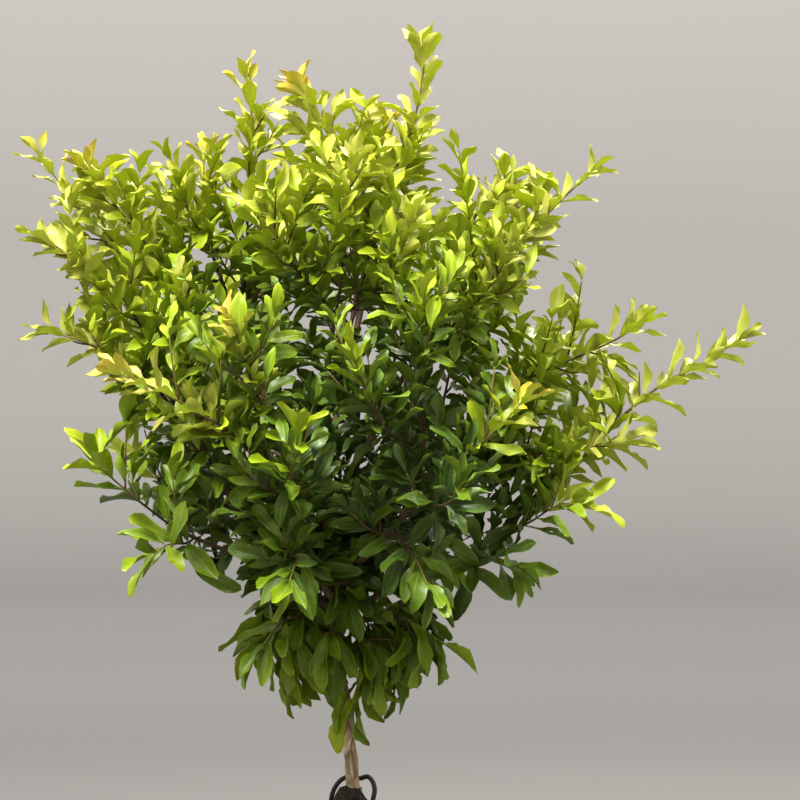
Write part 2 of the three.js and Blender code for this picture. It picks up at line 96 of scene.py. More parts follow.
# %% A socket that can be added and multiplied
class Wire:
    def __init__(self, socket):
        self.socket = socket

    @staticmethod
    def node(tree, kind, settings=None, inputs=None, output=None):
        made = tree.nodes.new(kind)
        for name, value in (settings or {}).items():
            if name == "stops":
                elements = made.color_ramp.elements
                while len(elements) < len(value):
                    elements.new(1.0)
                for element, (place, colour) in zip(elements, value):
                    element.position = place
                    element.color = (*colour, 1.0)
            else:
                setattr(made, name, value)
        for key, value in (inputs or {}).items():
            target = made.inputs[key] if isinstance(key, int) else next(
                socket for socket in made.inputs if socket.name == key and socket.enabled
            )
            if isinstance(value, Wire):
                tree.links.new(value.socket, target)
            elif isinstance(value, tuple) and target.type == "RGBA":
                target.default_value = (*value, 1.0)
            else:
                target.default_value = value
        found = [s for s in made.outputs if s.enabled and output in (None, s.name)]
        return Wire(found[0]) if found else made

    def sum(self, operation, *values):
        settings = {"operation": operation}
        return Wire.node(self.socket.id_data, "ShaderNodeMath", settings, dict(enumerate(values)))

    def __add__(self, other):
        return self.sum("ADD", self, other)

    def __radd__(self, other):
        return self.sum("ADD", other, self)

    def __sub__(self, other):
        return self.sum("SUBTRACT", self, other)

    def __rsub__(self, other):
        return self.sum("SUBTRACT", other, self)

    def __mul__(self, other):
        return self.sum("MULTIPLY", self, other)

    def __rmul__(self, other):
        return self.sum("MULTIPLY", other, self)

    def __abs__(self):
        return self.sum("ABSOLUTE", self)

    def sine(self):
        return self.sum("SINE", self)

    def between(self, low, high):
        """0 up to low, 1 from high on, and a smooth step between them."""
        return Wire.node(
            self.socket.id_data, "ShaderNodeMapRange", {"interpolation_type": "SMOOTHSTEP"},
            {"Value": self, "From Min": low, "From Max": high},
        )

    def pick(self, first, second):
        """The first colour where this value is 0, and the second where it is 1."""
        return Wire.node(
            self.socket.id_data, "ShaderNodeMix", {"data_type": "RGBA"},
            {"Factor": self, "A": first, "B": second}, "Result",
        )

    def ramp(self, stops):
        """The colour of a ramp of (value, colour) stops at this value."""
        return Wire.node(
            self.socket.id_data, "ShaderNodeValToRGB", {"stops": stops}, {"Fac": self}, "Color"
        )


# %% [markdown]
# A finish starts as an empty node tree. These helpers give it the things that nearly every finish
# needs: the place on the piece in metres, soft noise at a chosen size, and a bump that ends in a
# Principled shader.


# %% Starting and ending a finish
def new_finish(name):
    material = bpy.data.materials.new(name)
    material.use_nodes = True
    material.node_tree.nodes.clear()
    return material, material.node_tree


def place_on_piece(tree, stretch=(1, 1, 1)):
    place = Wire.node(tree, "ShaderNodeTexCoord", output="Object")
    if stretch == (1, 1, 1):
        return place
    settings = {"operation": "MULTIPLY"}
    return Wire.node(tree, "ShaderNodeVectorMath", settings, {0: place, 1: stretch})


def grain(place, size_mm, detail=3.0):
    """Noise whose blotches are about size_mm across."""
    return Wire.node(
        place.socket.id_data, "ShaderNodeTexNoise", None,
        {"Vector": place, "Scale": 1000 / size_mm, "Detail": detail, "Roughness": 0.55}, "Fac",
    )


def bump(height, depth_mm, strength):
    return Wire.node(
        height.socket.id_data, "ShaderNodeBump", None,
        {"Strength": strength, "Distance": depth_mm / 1000, "Height": height},
    )


def principled(colour, roughness, specular=0.5, normal=None):
    inputs = {"Base Color": colour, "Roughness": roughness, "Specular IOR Level": specular}
    if normal:
        inputs["Normal"] = normal
    return Wire.node(colour.socket.id_data, "ShaderNodeBsdfPrincipled", None, inputs)


def end_finish(shader):
    Wire.node(shader.socket.id_data, "ShaderNodeOutputMaterial", None, {"Surface": shader})


# %% [markdown]
# A studio table runs up into its own background without an edge. Here the sweep goes all the way
# round, like a shallow bowl many metres across, so the background is as plain from every side.

# %% Backdrop
FLOOR_RINGS = (0, 0.6, 2.4)
FLOOR_REACH = 5.6
SWEEP_RADIUS = 1.8
SWEEP_STEPS = 16
WALL_TOP = 2.4
ROUND_STEPS = 128


def turned(profile, segments):
    """Points and faces of a profile of (radius, height) points turned about the z axis."""
    turn = np.arange(segments) * 2 * math.pi / segments
    points, faces, rows = [], [], []
    for radius, height in profile:
        if radius == 0:
            rows.append([len(points)] * segments)
            points.append((0, 0, height))
        else:
            rows.append(list(range(len(points), len(points) + segments)))
            points += [(radius * math.cos(a), radius * math.sin(a), height) for a in turn]
    for low, high in zip(rows, rows[1:]):
        for i in range(segments):
            j = (i + 1) % segments
            faces.append(list(dict.fromkeys((low[i], low[j], high[j], high[i]))))
    return points, faces


def smooth_mesh(name, points, faces):
    mesh = bpy.data.meshes.new(name)
    mesh.from_pydata(points, [], faces)
    mesh.shade_smooth()
    return mesh


floor = [(radius, 0) for radius in FLOOR_RINGS]
sweep = [
    (FLOOR_REACH + SWEEP_RADIUS * math.sin(a), SWEEP_RADIUS * (1 - math.cos(a)))
    for a in np.linspace(0, math.pi / 2, SWEEP_STEPS)
]
bowl = turned([*floor, *sweep, (sweep[-1][0], WALL_TOP)], ROUND_STEPS)
backdrop = bpy.data.objects.new("backdrop", smooth_mesh("backdrop", *bowl))
bpy.context.scene.collection.objects.link(backdrop)
print("backdrop radius", round(sweep[-1][0], 1), "m")

# %% [markdown]
# Studio paper looks lighter higher up, where it faces the light, and darker on the floor round the
# pot. A plain paper would need many lamps to do that, so its greys do it here, with a faint cloud.

# %% Paper finish
PAPER_TOP = 1.3
PAPER_GREYS = [
    (0.0, (0.325, 0.316, 0.303)), (0.1, (0.410, 0.398, 0.381)), (0.27, (0.49, 0.472, 0.452)),
    (0.5, (0.517, 0.499, 0.479)), (0.9, (0.693, 0.666, 0.637)),
]
FLOOR_GREYS = [(0.7, 3.0, (0.262, 0.254, 0.241)), (0.2, 1.5, (0.162, 0.157, 0.148))]

paper, tree = new_finish("pale_paper")
place = place_on_piece(tree)
height = Wire.node(tree, "ShaderNodeSeparateXYZ", None, {"Vector": place}, "Z")
cloud = 0.04 * (grain(place, 700, 2) - 0.5)
shade = (height * (1 / PAPER_TOP) + cloud).ramp(PAPER_GREYS)
away = Wire.node(tree, "ShaderNodeVectorMath", {"operation": "LENGTH"}, {0: place}, "Value")
for near, far, grey in FLOOR_GREYS:
    shade = (1 - away.between(near, far)).pick(shade, grey)
end_finish(principled(shade, 0.9))
backdrop.data.materials.append(paper)
print("finish", paper.name)

# %% [markdown]
# The main light is a soft panel above the tree, in front of it and a little to the left, so the
# top of the crown glows and its inside falls dark. A weaker panel behind the tree outlines the
# crown, and the pale room fills in the rest.

# %% Light
PANEL_WIDTH = 0.7
PANEL_AIM = Vector((0, 0, 0.42))
PANEL_COLOUR = (1.0, 0.985, 0.95)
PANELS = [("sky_panel", (-0.35, -0.6, 1.75), 13.5, 64), ("rim_panel", (0.4, 0.9, 1.6), 7, 60)]
ROOM_COLOUR = (1.0, 0.985, 0.96, 1.0)
ROOM_STRENGTH = 1.2

for name, place, watts, spread in PANELS:
    light = bpy.data.lights.new(name, "AREA")
    light.shape = "SQUARE"
    light.size = PANEL_WIDTH
    light.energy = watts
    light.color = PANEL_COLOUR
    light.spread = math.radians(spread)
    panel = bpy.data.objects.new(name, light)
    panel.location = place
    panel.rotation_euler = (PANEL_AIM - Vector(place)).to_track_quat("-Z", "Y").to_euler()
    panel.visible_camera = False
    bpy.context.scene.collection.objects.link(panel)

room = bpy.data.worlds.new("studio")
room.use_nodes = True
room_light = room.node_tree.nodes["Background"].inputs
room_light["Color"].default_value = ROOM_COLOUR
room_light["Strength"].default_value = ROOM_STRENGTH
bpy.context.scene.world = room
bpy.context.scene.view_settings.view_transform = "Standard"
print("lights", [name for name, *rest in PANELS])

# %% [markdown]
# Branches follow smooth curves through a few points. The part was grown by the same rule, a
# uniform Catmull-Rom spline, so a curve through the same points lies inside the same solid.


# %% Curves
LENGTH_STEPS = 201
TANGENT_STEP = 1e-4
NEARLY_UPRIGHT = 0.95


class Course:
    def __init__(self, points):
        points = np.array(points, float)
        before = 2 * points[0] - points[1]
        after = 2 * points[-1] - points[-2]
        self.spans = len(points) - 1
        self.points = np.vstack([before, points, after])

    def at(self, share):
        """Points at one share of the course, or at several."""
        place = np.clip(np.asarray(share, float), 0, 1) * self.spans
        span = np.minimum(place.astype(int), self.spans - 1)
        t = (place - span)[..., None]
        a, b, c, d = (self.points[span + i] for i in range(4))
        leave, arrive = (c - a) / 2, (d - b) / 2
        square = (3 * (c - b) - 2 * leave - arrive) * t**2
        return b + leave * t + square + (2 * (b - c) + leave + arrive) * t**3

    def length(self):
        points = self.at(np.linspace(0, 1, LENGTH_STEPS))
        return np.linalg.norm(np.diff(points, axis=0), axis=1).sum()

    def tangent(self, share):
        after, before = self.at(min(share + TANGENT_STEP, 1)), self.at(max(share - TANGENT_STEP, 0))
        return unit(after - before)

    def cross(self, share):
        """Tangent and two directions square to it, turned as little as the chord allows."""
        chord = unit(self.at(1) - self.at(0))
        upright = (0, 1, 0) if abs(chord[2]) > NEARLY_UPRIGHT else (0, 0, 1)
        tangent = self.tangent(share)
        across = np.cross(chord, upright)
        across = unit(across - tangent * across.dot(tangent))
        return tangent, across, np.cross(tangent, across)


def unit(vector):
    return vector / np.linalg.norm(vector)


def leaning(tangent, across, over, lean, azimuth):
    """The direction that leans off a tangent, towards an azimuth round it."""
    outwards = across * math.cos(azimuth) + over * math.sin(azimuth)
    return tangent * math.cos(lean) + math.sin(lean) * outwards


def mix(first, second, share):
    return first + (second - first) * share


def rise(low, high, value):
    """0 up to low, 1 from high on, and a smooth step between them, for plain numbers."""
    share = min(max((value - low) / (high - low), 0), 1)
    return share * share * (3 - 2 * share)


# %% [markdown]
# The limbs carry the crown. Each has points on its axis, and radii at equal steps from its foot to
# its end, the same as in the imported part.

# %% Limbs
LIMBS = {
    "leader": (
        [[2, 0, 44], [2, 0, 84], [1.6, 0, 104], [-0.4, 1, 129], [-2.8, -1, 150], [-7, 1, 178],
         [-8.4, 0, 200], [-9, 0.5, 218], [-11, 2, 238], [-14, 3, 262], [-12, 1, 300],
         [-4, -1, 345], [6, 1, 385], [10, 5, 410]],
        [6.8, 5.6, 4.4, 4.0, 4.0, 3.9, 3.9, 3.5, 3.1, 2.9, 2.5, 2.1, 1.7, 1.4],
    ),
    "left": (
        [[-8.4, 0, 205], [-30, 4, 228], [-58, 6, 258], [-88, 4, 300], [-112, 2, 345]], [2.8, 1.3],
    ),
    "left_high": (
        [[-14, 3, 258], [-34, 10, 300], [-55, 14, 345], [-72, 16, 392], [-84, 14, 425]], [2.4, 1.2],
    ),
    "left_low": ([[-28, 4, 226], [-60, -14, 240], [-90, -24, 252], [-107, -28, 261]], [1.9, 1.2]),
    "right_high": (
        [[-14, 3, 262], [6, -6, 300], [30, -8, 345], [50, -6, 385], [61, -4, 424]], [2.4, 1.2],
    ),
    "right_mid": ([[-11, 2, 235], [18, 10, 262], [52, 12, 292], [91, 8, 336]], [2.3, 1.2]),
    "right": (
        [[-8.4, 0, 205], [18, -8, 218], [45, -12, 228], [67, -15, 237], [91, -20, 259]], [2.7, 1.4],
    ),
    "front_left": ([[-8.4, 0, 213], [-24, -26, 238], [-42, -58, 275], [-52, -88, 320]], [2.5, 1.3]),
    "front_right": (
        [[-9, 0, 220], [12, -30, 245], [34, -62, 270], [43, -84, 300], [43, -96, 335]], [2.5, 1.3],
    ),
    "front_high": ([[-12, 1, 300], [-14, -28, 330], [-10, -58, 372], [-4, -78, 405]], [2.0, 1.2]),
    "back_left": ([[-9, 1, 222], [-28, 28, 250], [-48, 60, 292], [-60, 88, 335]], [2.4, 1.3]),
    "back_right": ([[-9, 1, 226], [12, 32, 252], [38, 64, 288], [56, 86, 330]], [2.4, 1.3]),
    "back_high": ([[-12, 1, 305], [-8, 30, 340], [0, 58, 380], [4, 76, 412]], [2.0, 1.2]),
}
limb_courses = {name: Course(points) for name, (points, radii) in LIMBS.items()}
print("limbs", len(LIMBS), "together", round(sum(c.length() for c in limb_courses.values())), "mm")

# %% [markdown]
# Each leafy shoot is one piece of the part. It names its limb, the share of the limb's length where
# it leaves, and the points after that. Shoots that stand out of the crown were placed one by one,
# and the others fill it from all sides.

# %% Leafy shoots
SHOOTS = [
    ("leader", 1, [[18, 8, 443], [30, 10, 480], [39, 10, 505], [44, 9, 533], [42, 8, 547]]),
    ("leader", 0.94, [[16, -10, 430], [1, -14, 468], [-19, -14, 505], [-30, -13, 520]]),
    ("leader", 0.89, [[12, 20, 425], [22, 28, 462], [21, 30, 500]]),
    ("back_high", 1, [[0, 84, 450], [-4, 86, 482]]),
    ("back_high", 0.8, [[28, 88, 418], [42, 102, 452]]),
    ("back_high", 0.75, [[-28, 88, 414], [-42, 104, 448]]),
    ("front_high", 1, [[-2, -86, 440], [4, -88, 474]]),
    ("front_high", 0.8, [[-34, -90, 416], [-48, -104, 446]]),
    ("front_high", 0.75, [[22, -88, 406], [38, -104, 440]]),
    ("left_high", 0.72, [[-63, 24, 410], [-62, 22, 453], [-59, 20, 498], [-63, 20, 529]]),
    ("left_high", 1, [[-88, 12, 440], [-88, 10, 483]]),
    ("left_high", 0.68, [[-48, -4, 412], [-36, -12, 440], [-26, -12, 462]]),
    ("left_high", 0.85, [[-103, 6, 411], [-127, 2, 434], [-147, -4, 461], [-157, -6, 474]]),
    (
        "left_high", 0.78,
        [[-100, 36, 402], [-130, 44, 418], [-151, 47, 433], [-168, 46, 456], [-189, 44, 482]],
    ),
    ("left", 1, [[-120, -4, 368], [-138, -12, 399], [-164, -18, 419], [-182, -20, 429]]),
    ("left", 0.9, [[-126, -20, 352], [-152, -30, 367], [-178, -34, 376]]),
    ("left", 0.75, [[-112, 38, 326], [-136, 64, 350], [-156, 76, 374]]),
    ("left", 0.5, [[-84, 40, 268], [-112, 66, 282], [-132, 82, 300]]),
    ("left", 0.7, [[-92, -22, 326], [-96, -38, 366], [-100, -46, 404]]),
    ("front_left", 0.8, [[-66, -92, 314], [-84, -102, 326], [-110, -110, 341], [-132, -114, 350]]),
    ("front_left", 1, [[-57, -106, 350], [-66, -124, 378]]),
    ("left_low", 1, [[-126, -34, 276], [-142, -38, 290], [-150, -40, 298]]),
    ("left_low", 0.7, [[-97, -38, 250], [-106, -54, 250], [-115, -67, 245]]),
    ("leader", 0.47, [[-24, -16, 206], [-40, -29, 203], [-51, -38, 190]]),
    ("leader", 0.49, [[-27, 18, 209], [-46, 35, 207], [-58, 46, 193]]),
    ("leader", 0.42, [[3, -11, 195], [12, -20, 190], [16, -26, 176]]),
    ("leader", 0.455, [[12, -13, 203], [34, -24, 205], [53, -33, 192]]),
    ("leader", 0.44, [[6, 16, 202], [23, 36, 204], [36, 52, 191]]),
    ("front_left", 0.35, [[-27, -52, 244], [-30, -80, 242], [-34, -106, 230]]),
    ("front_right", 0.4, [[32, -72, 252], [39, -94, 243], [46, -114, 228]]),
    ("back_left", 0.4, [[-32, 60, 252], [-35, 88, 246], [-38, 112, 232]]),
    ("back_right", 0.4, [[30, 60, 254], [42, 86, 250], [53, 110, 236]]),
    ("front_right", 1, [[40, -108, 368], [44, -118, 396]]),
    ("front_right", 0.75, [[66, -96, 302], [86, -116, 318], [100, -130, 334]]),
    ("front_right", 0.6, [[48, -94, 274], [58, -118, 276], [66, -140, 288]]),
    ("front_left", 0.6, [[-34, -92, 280], [-32, -122, 296], [-28, -146, 316]]),
    ("front_right", 0.8, [[22, -112, 318], [10, -132, 342], [2, -146, 364]]),
    ("back_left", 1, [[-68, 102, 370], [-76, 112, 402]]),
    ("back_left", 0.75, [[-84, 94, 312], [-104, 110, 328], [-120, 120, 346]]),
    ("back_left", 0.6, [[-44, 98, 288], [-42, 126, 304], [-40, 148, 322]]),
    ("back_right", 1, [[64, 98, 366], [74, 106, 398]]),
    ("back_right", 0.75, [[82, 92, 308], [104, 106, 324], [120, 116, 344]]),
    ("back_right", 0.6, [[40, 98, 286], [42, 126, 302], [44, 146, 320]]),
    ("right_high", 1, [[78, -6, 448], [98, -8, 462]]),
    (
        "right_high", 0.78,
        [[67, -18, 396], [88, -24, 417], [106, -26, 433], [122, -26, 450], [145, -24, 472]],
    ),
    ("right_high", 0.6, [[58, 28, 376], [82, 50, 402], [98, 60, 432]]),
    ("right_high", 0.55, [[54, -42, 372], [80, -62, 398], [96, -72, 424]]),
    ("right_mid", 1, [[111, 8, 350], [137, 6, 361], [161, 4, 372], [172, 3, 380]]),
    ("right_mid", 0.8, [[90, 36, 326], [112, 58, 346], [132, 74, 368]]),
    (
        "right", 1,
        [[110, -20, 277], [136, -16, 297], [164, -8, 326], [188, -3, 345], [212, 2, 357],
         [234, 5, 372]],
    ),
    ("right", 0.8, [[82, -34, 276], [88, -42, 300], [92, -46, 324]]),
    ("right", 0.6, [[70, -32, 239], [86, -48, 242], [98, -60, 237]]),
    ("right", 0.93, [[106, -34, 262], [122, -44, 272], [138, -48, 272]]),
    ("right_mid", 0.7, [[92, -14, 300], [118, -24, 304], [146, -28, 307], [164, -28, 309]]),
]
print("leafy shoots", len(SHOOTS))

# %% [markdown]
# Pomegranate leaves stand in pairs, each pair turned a quarter round from the last, and one leaf
# ends the twig. They open wide near its foot and point along it near its tip, hang in the low
# crown, and are longest in the shade. Chance comes from a formula and not from a random generator,
# so the same leaf always lies the same way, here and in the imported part.

# %% Twigs and the way their leaves lie
SEED = 7
INTERNODE = 9.3
BARE_SHARE = 0.2
END_LEAF_SUNK = 2
NUMBERS_A_TWIG = 100
AZIMUTH_VARIES, AZIMUTH_LOOSE = 24, 70
OPEN_AT_FOOT, OPEN_AT_TIP, OPEN_AT_END = 62, 34, 10
OPENING_VARIES, OPENING_LOOSE = 16, 44
ROLL_VARIES, ROLL_LOOSE = 50, 80
HANG_LOW, HANG_HIGH = -1.3, 0.25
LONGEST_LEAF, SHORTEST_LEAF = 37, 24
NARROWEST_SHARE, BROADEST_SHARE = 0.22, 0.29
LEAST_BEND, MOST_BEND = 0.05, 0.24


@dataclass
class Twig:
    shoot: int
    first: int
    course: Course
    pairs: int
    bare: float
    vigour: float
    end: float = 1.0


@dataclass
class Pose:
    root: np.ndarray
    along: np.ndarray
    face: np.ndarray
    size: float
    width: float
    bend: float
    share: float
    chance: object
    main: bool


def draw(shoot, leaf, what):
    """A number from 0 to 1 that depends only on the shoot, the leaf and what is drawn."""
    wave = math.sin(shoot * 12.9898 + leaf * 78.233 + what * 37.719 + SEED) * 43758.5453
    return wave - math.floor(wave)


def pose_leaf(twig, leaf, turn=0.0, scale=1.0, loose=0.0):
    """How one leaf lies. The looser a leaf is, the further it strays from the part's rule."""
    pair, ends = leaf // 2, leaf == 2 * twig.pairs
    length = twig.course.length()
    share = 1 - END_LEAF_SUNK / length if ends else mix(twig.bare, 1, (pair + 0.6) / twig.pairs)

    def chance(what):
        return draw(twig.shoot, twig.first + leaf, what)

    def sway(span, what):
        return span * (chance(what) - 0.5)

    axes = twig.course.cross(share)
    root = twig.course.at(share)
    height = root[2]
    azimuth = math.radians(360 * draw(twig.shoot, twig.first, 1) + 90 * pair + 180 * (leaf % 2)
                           + sway(AZIMUTH_VARIES, 2) + turn + sway(loose * AZIMUTH_LOOSE, 20))
    opening = mix(OPEN_AT_FOOT, OPEN_AT_TIP, share) + sway(OPENING_VARIES, 3)
    opening = math.radians(OPEN_AT_END if ends else opening + sway(loose * OPENING_LOOSE, 21))
    if loose:
        opening *= mix(1, 0.72, rise(300, 450, height))
    along = leaning(*axes, opening, azimuth)
    if not ends:
        hang = mix(HANG_LOW, HANG_HIGH, rise(195, 262, height))
        along[2] += hang * (mix(0.25, 1, chance(27)) if loose else 1)
    along = unit(along)
    up = axes[0] + np.array((0, 0, 0.8))
    up = unit(up - along * up.dot(along))
    roll = math.radians(sway(ROLL_VARIES, 4) + sway(loose * ROLL_LOOSE, 22))
    face = up * math.cos(roll) + np.cross(along, up) * math.sin(roll)
    grown = mix(LONGEST_LEAF, SHORTEST_LEAF, rise(200, 430, height))
    grown = grown * mix(1.05, 0.82, share) * twig.vigour
    size = grown * mix(0.86, 1.12, chance(5)) * mix(1, mix(0.6, 1.06, chance(23)), loose)
    if loose:
        size *= mix(1.2, 1, rise(205, 265, height)) * mix(1, 1.14, rise(300, 480, height))
    width = size * mix(NARROWEST_SHARE, BROADEST_SHARE, chance(6))
    width = width * (1 + loose * 0.3 * chance(25))
    bend = mix(LEAST_BEND, MOST_BEND, chance(7)) + loose * 0.3 * chance(24)
    main = twig.first < NUMBERS_A_TWIG
    return Pose(root, along, face, size * scale, width, bend, share, chance, main)


# %% [markdown]
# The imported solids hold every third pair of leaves. Each of those leaves took the first of nine
# poses that was free, so the script looks for the pose whose tip is a corner of the solid. That
# keeps every leaf of the solid where it was found to fit.

# %% Main twigs and the leaves that the part has
TRIES = [
    (0, 1), (26, 1), (-26, 1), (52, 1), (-52, 1), (84, 0.9), (-84, 0.9), (120, 0.8), (-120, 0.8),
]
PAIR_STRIDE = 3
FEWEST_PAIRS = 3
TIP_TOLERANCE = 0.2

main_twigs = []
for number, (limb, share, points) in enumerate(SHOOTS):
    course = Course([limb_courses[limb].at(share), *points])
    pairs = max(FEWEST_PAIRS, math.floor(course.length() * (1 - BARE_SHARE) / INTERNODE + 0.5))
    main_twigs.append(Twig(number, 0, course, pairs, BARE_SHARE, 1.0))


def corners_of(node):
    """A search tree of a node's corners, in millimetres."""
    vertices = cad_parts[node].data.vertices
    found = KDTree(len(vertices))
    for index, vertex in enumerate(vertices):
        found.insert(vertex.co * 1000, index)
    found.balance()
    return found


def leaves_of_part(twig):
    """The leaves that a leafy shoot of the part has, by number, in the poses that they took."""
    corners = corners_of(f"leafy_shoot_{twig.shoot + 1:02d}")
    numbers = [2 * twig.pairs]
    for pair in range(twig.pairs - 1, -1, -PAIR_STRIDE):
        numbers += [2 * pair, 2 * pair + 1]
    poses = {}
    for number in numbers:
        for turn, scale in TRIES:
            pose = pose_leaf(twig, number, turn, scale)
            tip = pose.root + (pose.along - pose.face * pose.bend) * pose.size
            if corners.find(tip)[2] < TIP_TOLERANCE:
                poses[number] = pose
                break
    return poses, set(numbers)


part_leaves = [leaves_of_part(twig) for twig in main_twigs]
print("leaves of the part", sum(len(poses) for poses, numbers in part_leaves),
      "of", sum(len(numbers) for poses, numbers in part_leaves))

# %% [markdown]
# The tree bears far more leaves than the solids hold. Side twigs branch off the main ones by the
# golden angle, fewer in the low crown and on the open right side, and short spurs sit on the limbs
# inside the crown.

# %% All twigs of the crown
SIDE_TWIG_STEP, SIDE_INTERNODE = 12.5, 6.8
SIDE_BARE, SIDE_VIGOUR = 0.15, 0.92
SIDE_LEAN_AT_FOOT, SIDE_LEAN_AT_TIP = 66, 38
SIDE_REACH_AT_FOOT, SIDE_REACH_AT_TIP = 42, 20
OPEN_SHARE, LOW_SHARE = 0.5, 0.3
SPUR_STEP, SPUR_PAIRS = 12, 3
SPUR_BARE, SPUR_VIGOUR = 0.3, 0.9
SHORTEST_SPUR, LONGEST_SPUR = 12, 28
SPUR_FIRST = 2000
LOWEST_SPUR = 205
GOLDEN_ANGLE = 137.5


def side_twigs(twig):
    """Short twigs that branch off a main twig."""
    count = round(twig.course.length() / SIDE_TWIG_STEP)
    for k in range(count):
        first = NUMBERS_A_TWIG * (k + 1)
        chance = [draw(twig.shoot, first, what) for what in (11, 12, 13)]
        share = mix(0.08, 0.84, (k + 0.25 + 0.5 * chance[0]) / count)
        azimuth = math.radians(GOLDEN_ANGLE * k + 60 * chance[1] + 360 * draw(twig.shoot, 0, 14))
        lean = math.radians(mix(SIDE_LEAN_AT_FOOT, SIDE_LEAN_AT_TIP, share))
        heading = leaning(*twig.course.cross(share), lean, azimuth)
        reach = mix(SIDE_REACH_AT_FOOT, SIDE_REACH_AT_TIP, share) * mix(0.75, 1.15, chance[2])
        foot = twig.course.at(share)
        open_part = rise(20, 70, foot[0]) * (1 - rise(285, 330, foot[2]))
        thinned = OPEN_SHARE * open_part + LOW_SHARE * (1 - rise(230, 310, foot[2]))
        if draw(twig.shoot, first, 16) < thinned:
            continue
        lift = np.array((0, 0, reach * mix(-0.3, 0.5, rise(195, 262, foot[2]))))
        middle = foot + heading * reach * 0.5 + lift * 0.25
        course = Course([foot, middle, foot + heading * reach + lift])
        pairs = max(2, round(reach / SIDE_INTERNODE))
        yield Twig(twig.shoot, first, course, pairs, SIDE_BARE, SIDE_VIGOUR)


def spurs(limb, owner):
    """Stubs with a tuft of leaves on the old wood of a limb."""
    course = limb_courses[limb]
    count = round(course.length() / SPUR_STEP)
    for k in range(count):
        first = SPUR_FIRST + NUMBERS_A_TWIG * k
        share = (k + 0.5) / count
        foot = course.at(share)
        if foot[2] < LOWEST_SPUR:
            continue
        tangent, across, over = course.cross(share)
        azimuth = math.radians(GOLDEN_ANGLE * k + 90 * draw(owner, first, 12))
        heading = unit(0.6 * tangent + across * math.cos(azimuth) + over * math.sin(azimuth))
        reach = mix(SHORTEST_SPUR, LONGEST_SPUR, draw(owner, first, 13))
        end = foot + heading * reach + np.array((0, 0, 0.3 * reach))
        spur = Course([foot, (foot + end) / 2, end])
        yield Twig(owner, first, spur, SPUR_PAIRS, SPUR_BARE, SPUR_VIGOUR)


crown = {twig.shoot: [twig, *side_twigs(twig)] for twig in main_twigs}
for limb in LIMBS:
    owner = next(number for number, shoot in enumerate(SHOOTS) if shoot[0] == limb)
    crown[owner] += spurs(limb, owner)
print("twigs and spurs", sum(len(twigs) for twigs in crown.values()))

# %% [markdown]
# Side twigs and tufts keep inside the rounded shape of the crown, given by how far it reaches to
# the left and to the right at a few heights. Only the main twigs of the part stand out of it.

# %% Shape of the crown
CROWN_HEIGHTS = [150, 190, 215, 240, 275, 310, 350, 385, 410, 440, 470, 485, 500, 512, 522]
CROWN_LEFT = [-40, -62, -68, -108, -126, -134, -148, -168, -176, -184, -182, -135, -98, -75, -1]
CROWN_RIGHT = [35, 68, 64, 92, 128, 150, 160, 150, 136, 132, 124, 96, 62, 45, 1]
CROWN_DEPTH = 0.86


def in_crown(point):
    left = np.interp(point[2], CROWN_HEIGHTS, CROWN_LEFT)
    right = np.interp(point[2], CROWN_HEIGHTS, CROWN_RIGHT)
    half = (right - left) / 2
    return math.hypot((point[0] - (left + right) / 2) / half, point[1] / (half * CROWN_DEPTH)) < 1


print("crown", min(CROWN_LEFT), "to", max(CROWN_RIGHT), "mm wide")

# %% [markdown]
# A leaf grows only where it has room. Space is divided into small cells, and each placed leaf puts
# a few points of its rib into them, so a new leaf looks only into the cells round it. It turns a
# little where another one is in its way, and is left out where nothing is free. The part's leaves
# come first, then the pairs between them with tufts of small leaves in their axils, and then the
# side twigs and spurs. A side twig ends where its last leaf stands.

# %% A free place for every leaf
LEAF_GAP = 3.0
BOX_ALLOWANCE = 3.0
FREE_TURNS = [0, 30, -30, 60, -60]
PAIR_LOOSE, SIDE_LOOSE, TUFT_LOOSE = 0.35, 0.8, 1.0
TUFT_FIRST, TUFT_BARE, TUFT_VIGOUR = 50, 0.12, 0.8
FEWEST_ON_TWIG = 2
NEIGHBOURS = [(i, j, k) for i in (-1, 0, 1) for j in (-1, 0, 1) for k in (-1, 0, 1)]

corners = np.array([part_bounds(node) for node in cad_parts]) * 1000
lowest, highest = corners[:, 0].min(axis=0), corners[:, 1].max(axis=0)


class Crowd:
    """Remembers where leaves lie, so that the next one can find a free place."""

    def __init__(self, gap):
        self.gap = gap
        self.cells = defaultdict(list)

    def cell(self, point):
        return tuple(int(c // self.gap) for c in point)

    def add(self, points):
        for point in points:
            self.cells[self.cell(point)].append(point)

    def has_room(self, points):
        for point in points:
            x, y, z = self.cell(point)
            for i, j, k in NEIGHBOURS:
                for other in self.cells.get((x + i, y + j, z + k), ()):
                    if ((point - other) ** 2).sum() < self.gap**2:
                        return False
        return True


def rib(pose, shares=(0.4, 0.6, 0.8, 1.0)):
    """Points along the middle of a leaf."""
    u = np.array(shares)[:, None]
    return pose.root + pose.along * pose.size * u - pose.face * pose.bend * pose.size * u**2


crowd = Crowd(LEAF_GAP)
leaves = {shoot: list(poses.values()) for shoot, (poses, numbers) in enumerate(part_leaves)}
for pose in (pose for poses in leaves.values() for pose in poses):
    crowd.add(rib(pose))


def place_leaf(twig, number, loose, anywhere):
    """The first pose of a leaf that is free and inside the part's box, or nothing."""
    for turn in FREE_TURNS:
        pose = pose_leaf(twig, number, turn, 1.0, loose)
        line = rib(pose)
        inside = (line > lowest - BOX_ALLOWANCE).all() and (line < highest + BOX_ALLOWANCE).all()
        if inside and (anywhere or in_crown(line[-1])) and crowd.has_room(line):
            crowd.add(line)
            return [pose]
    return []


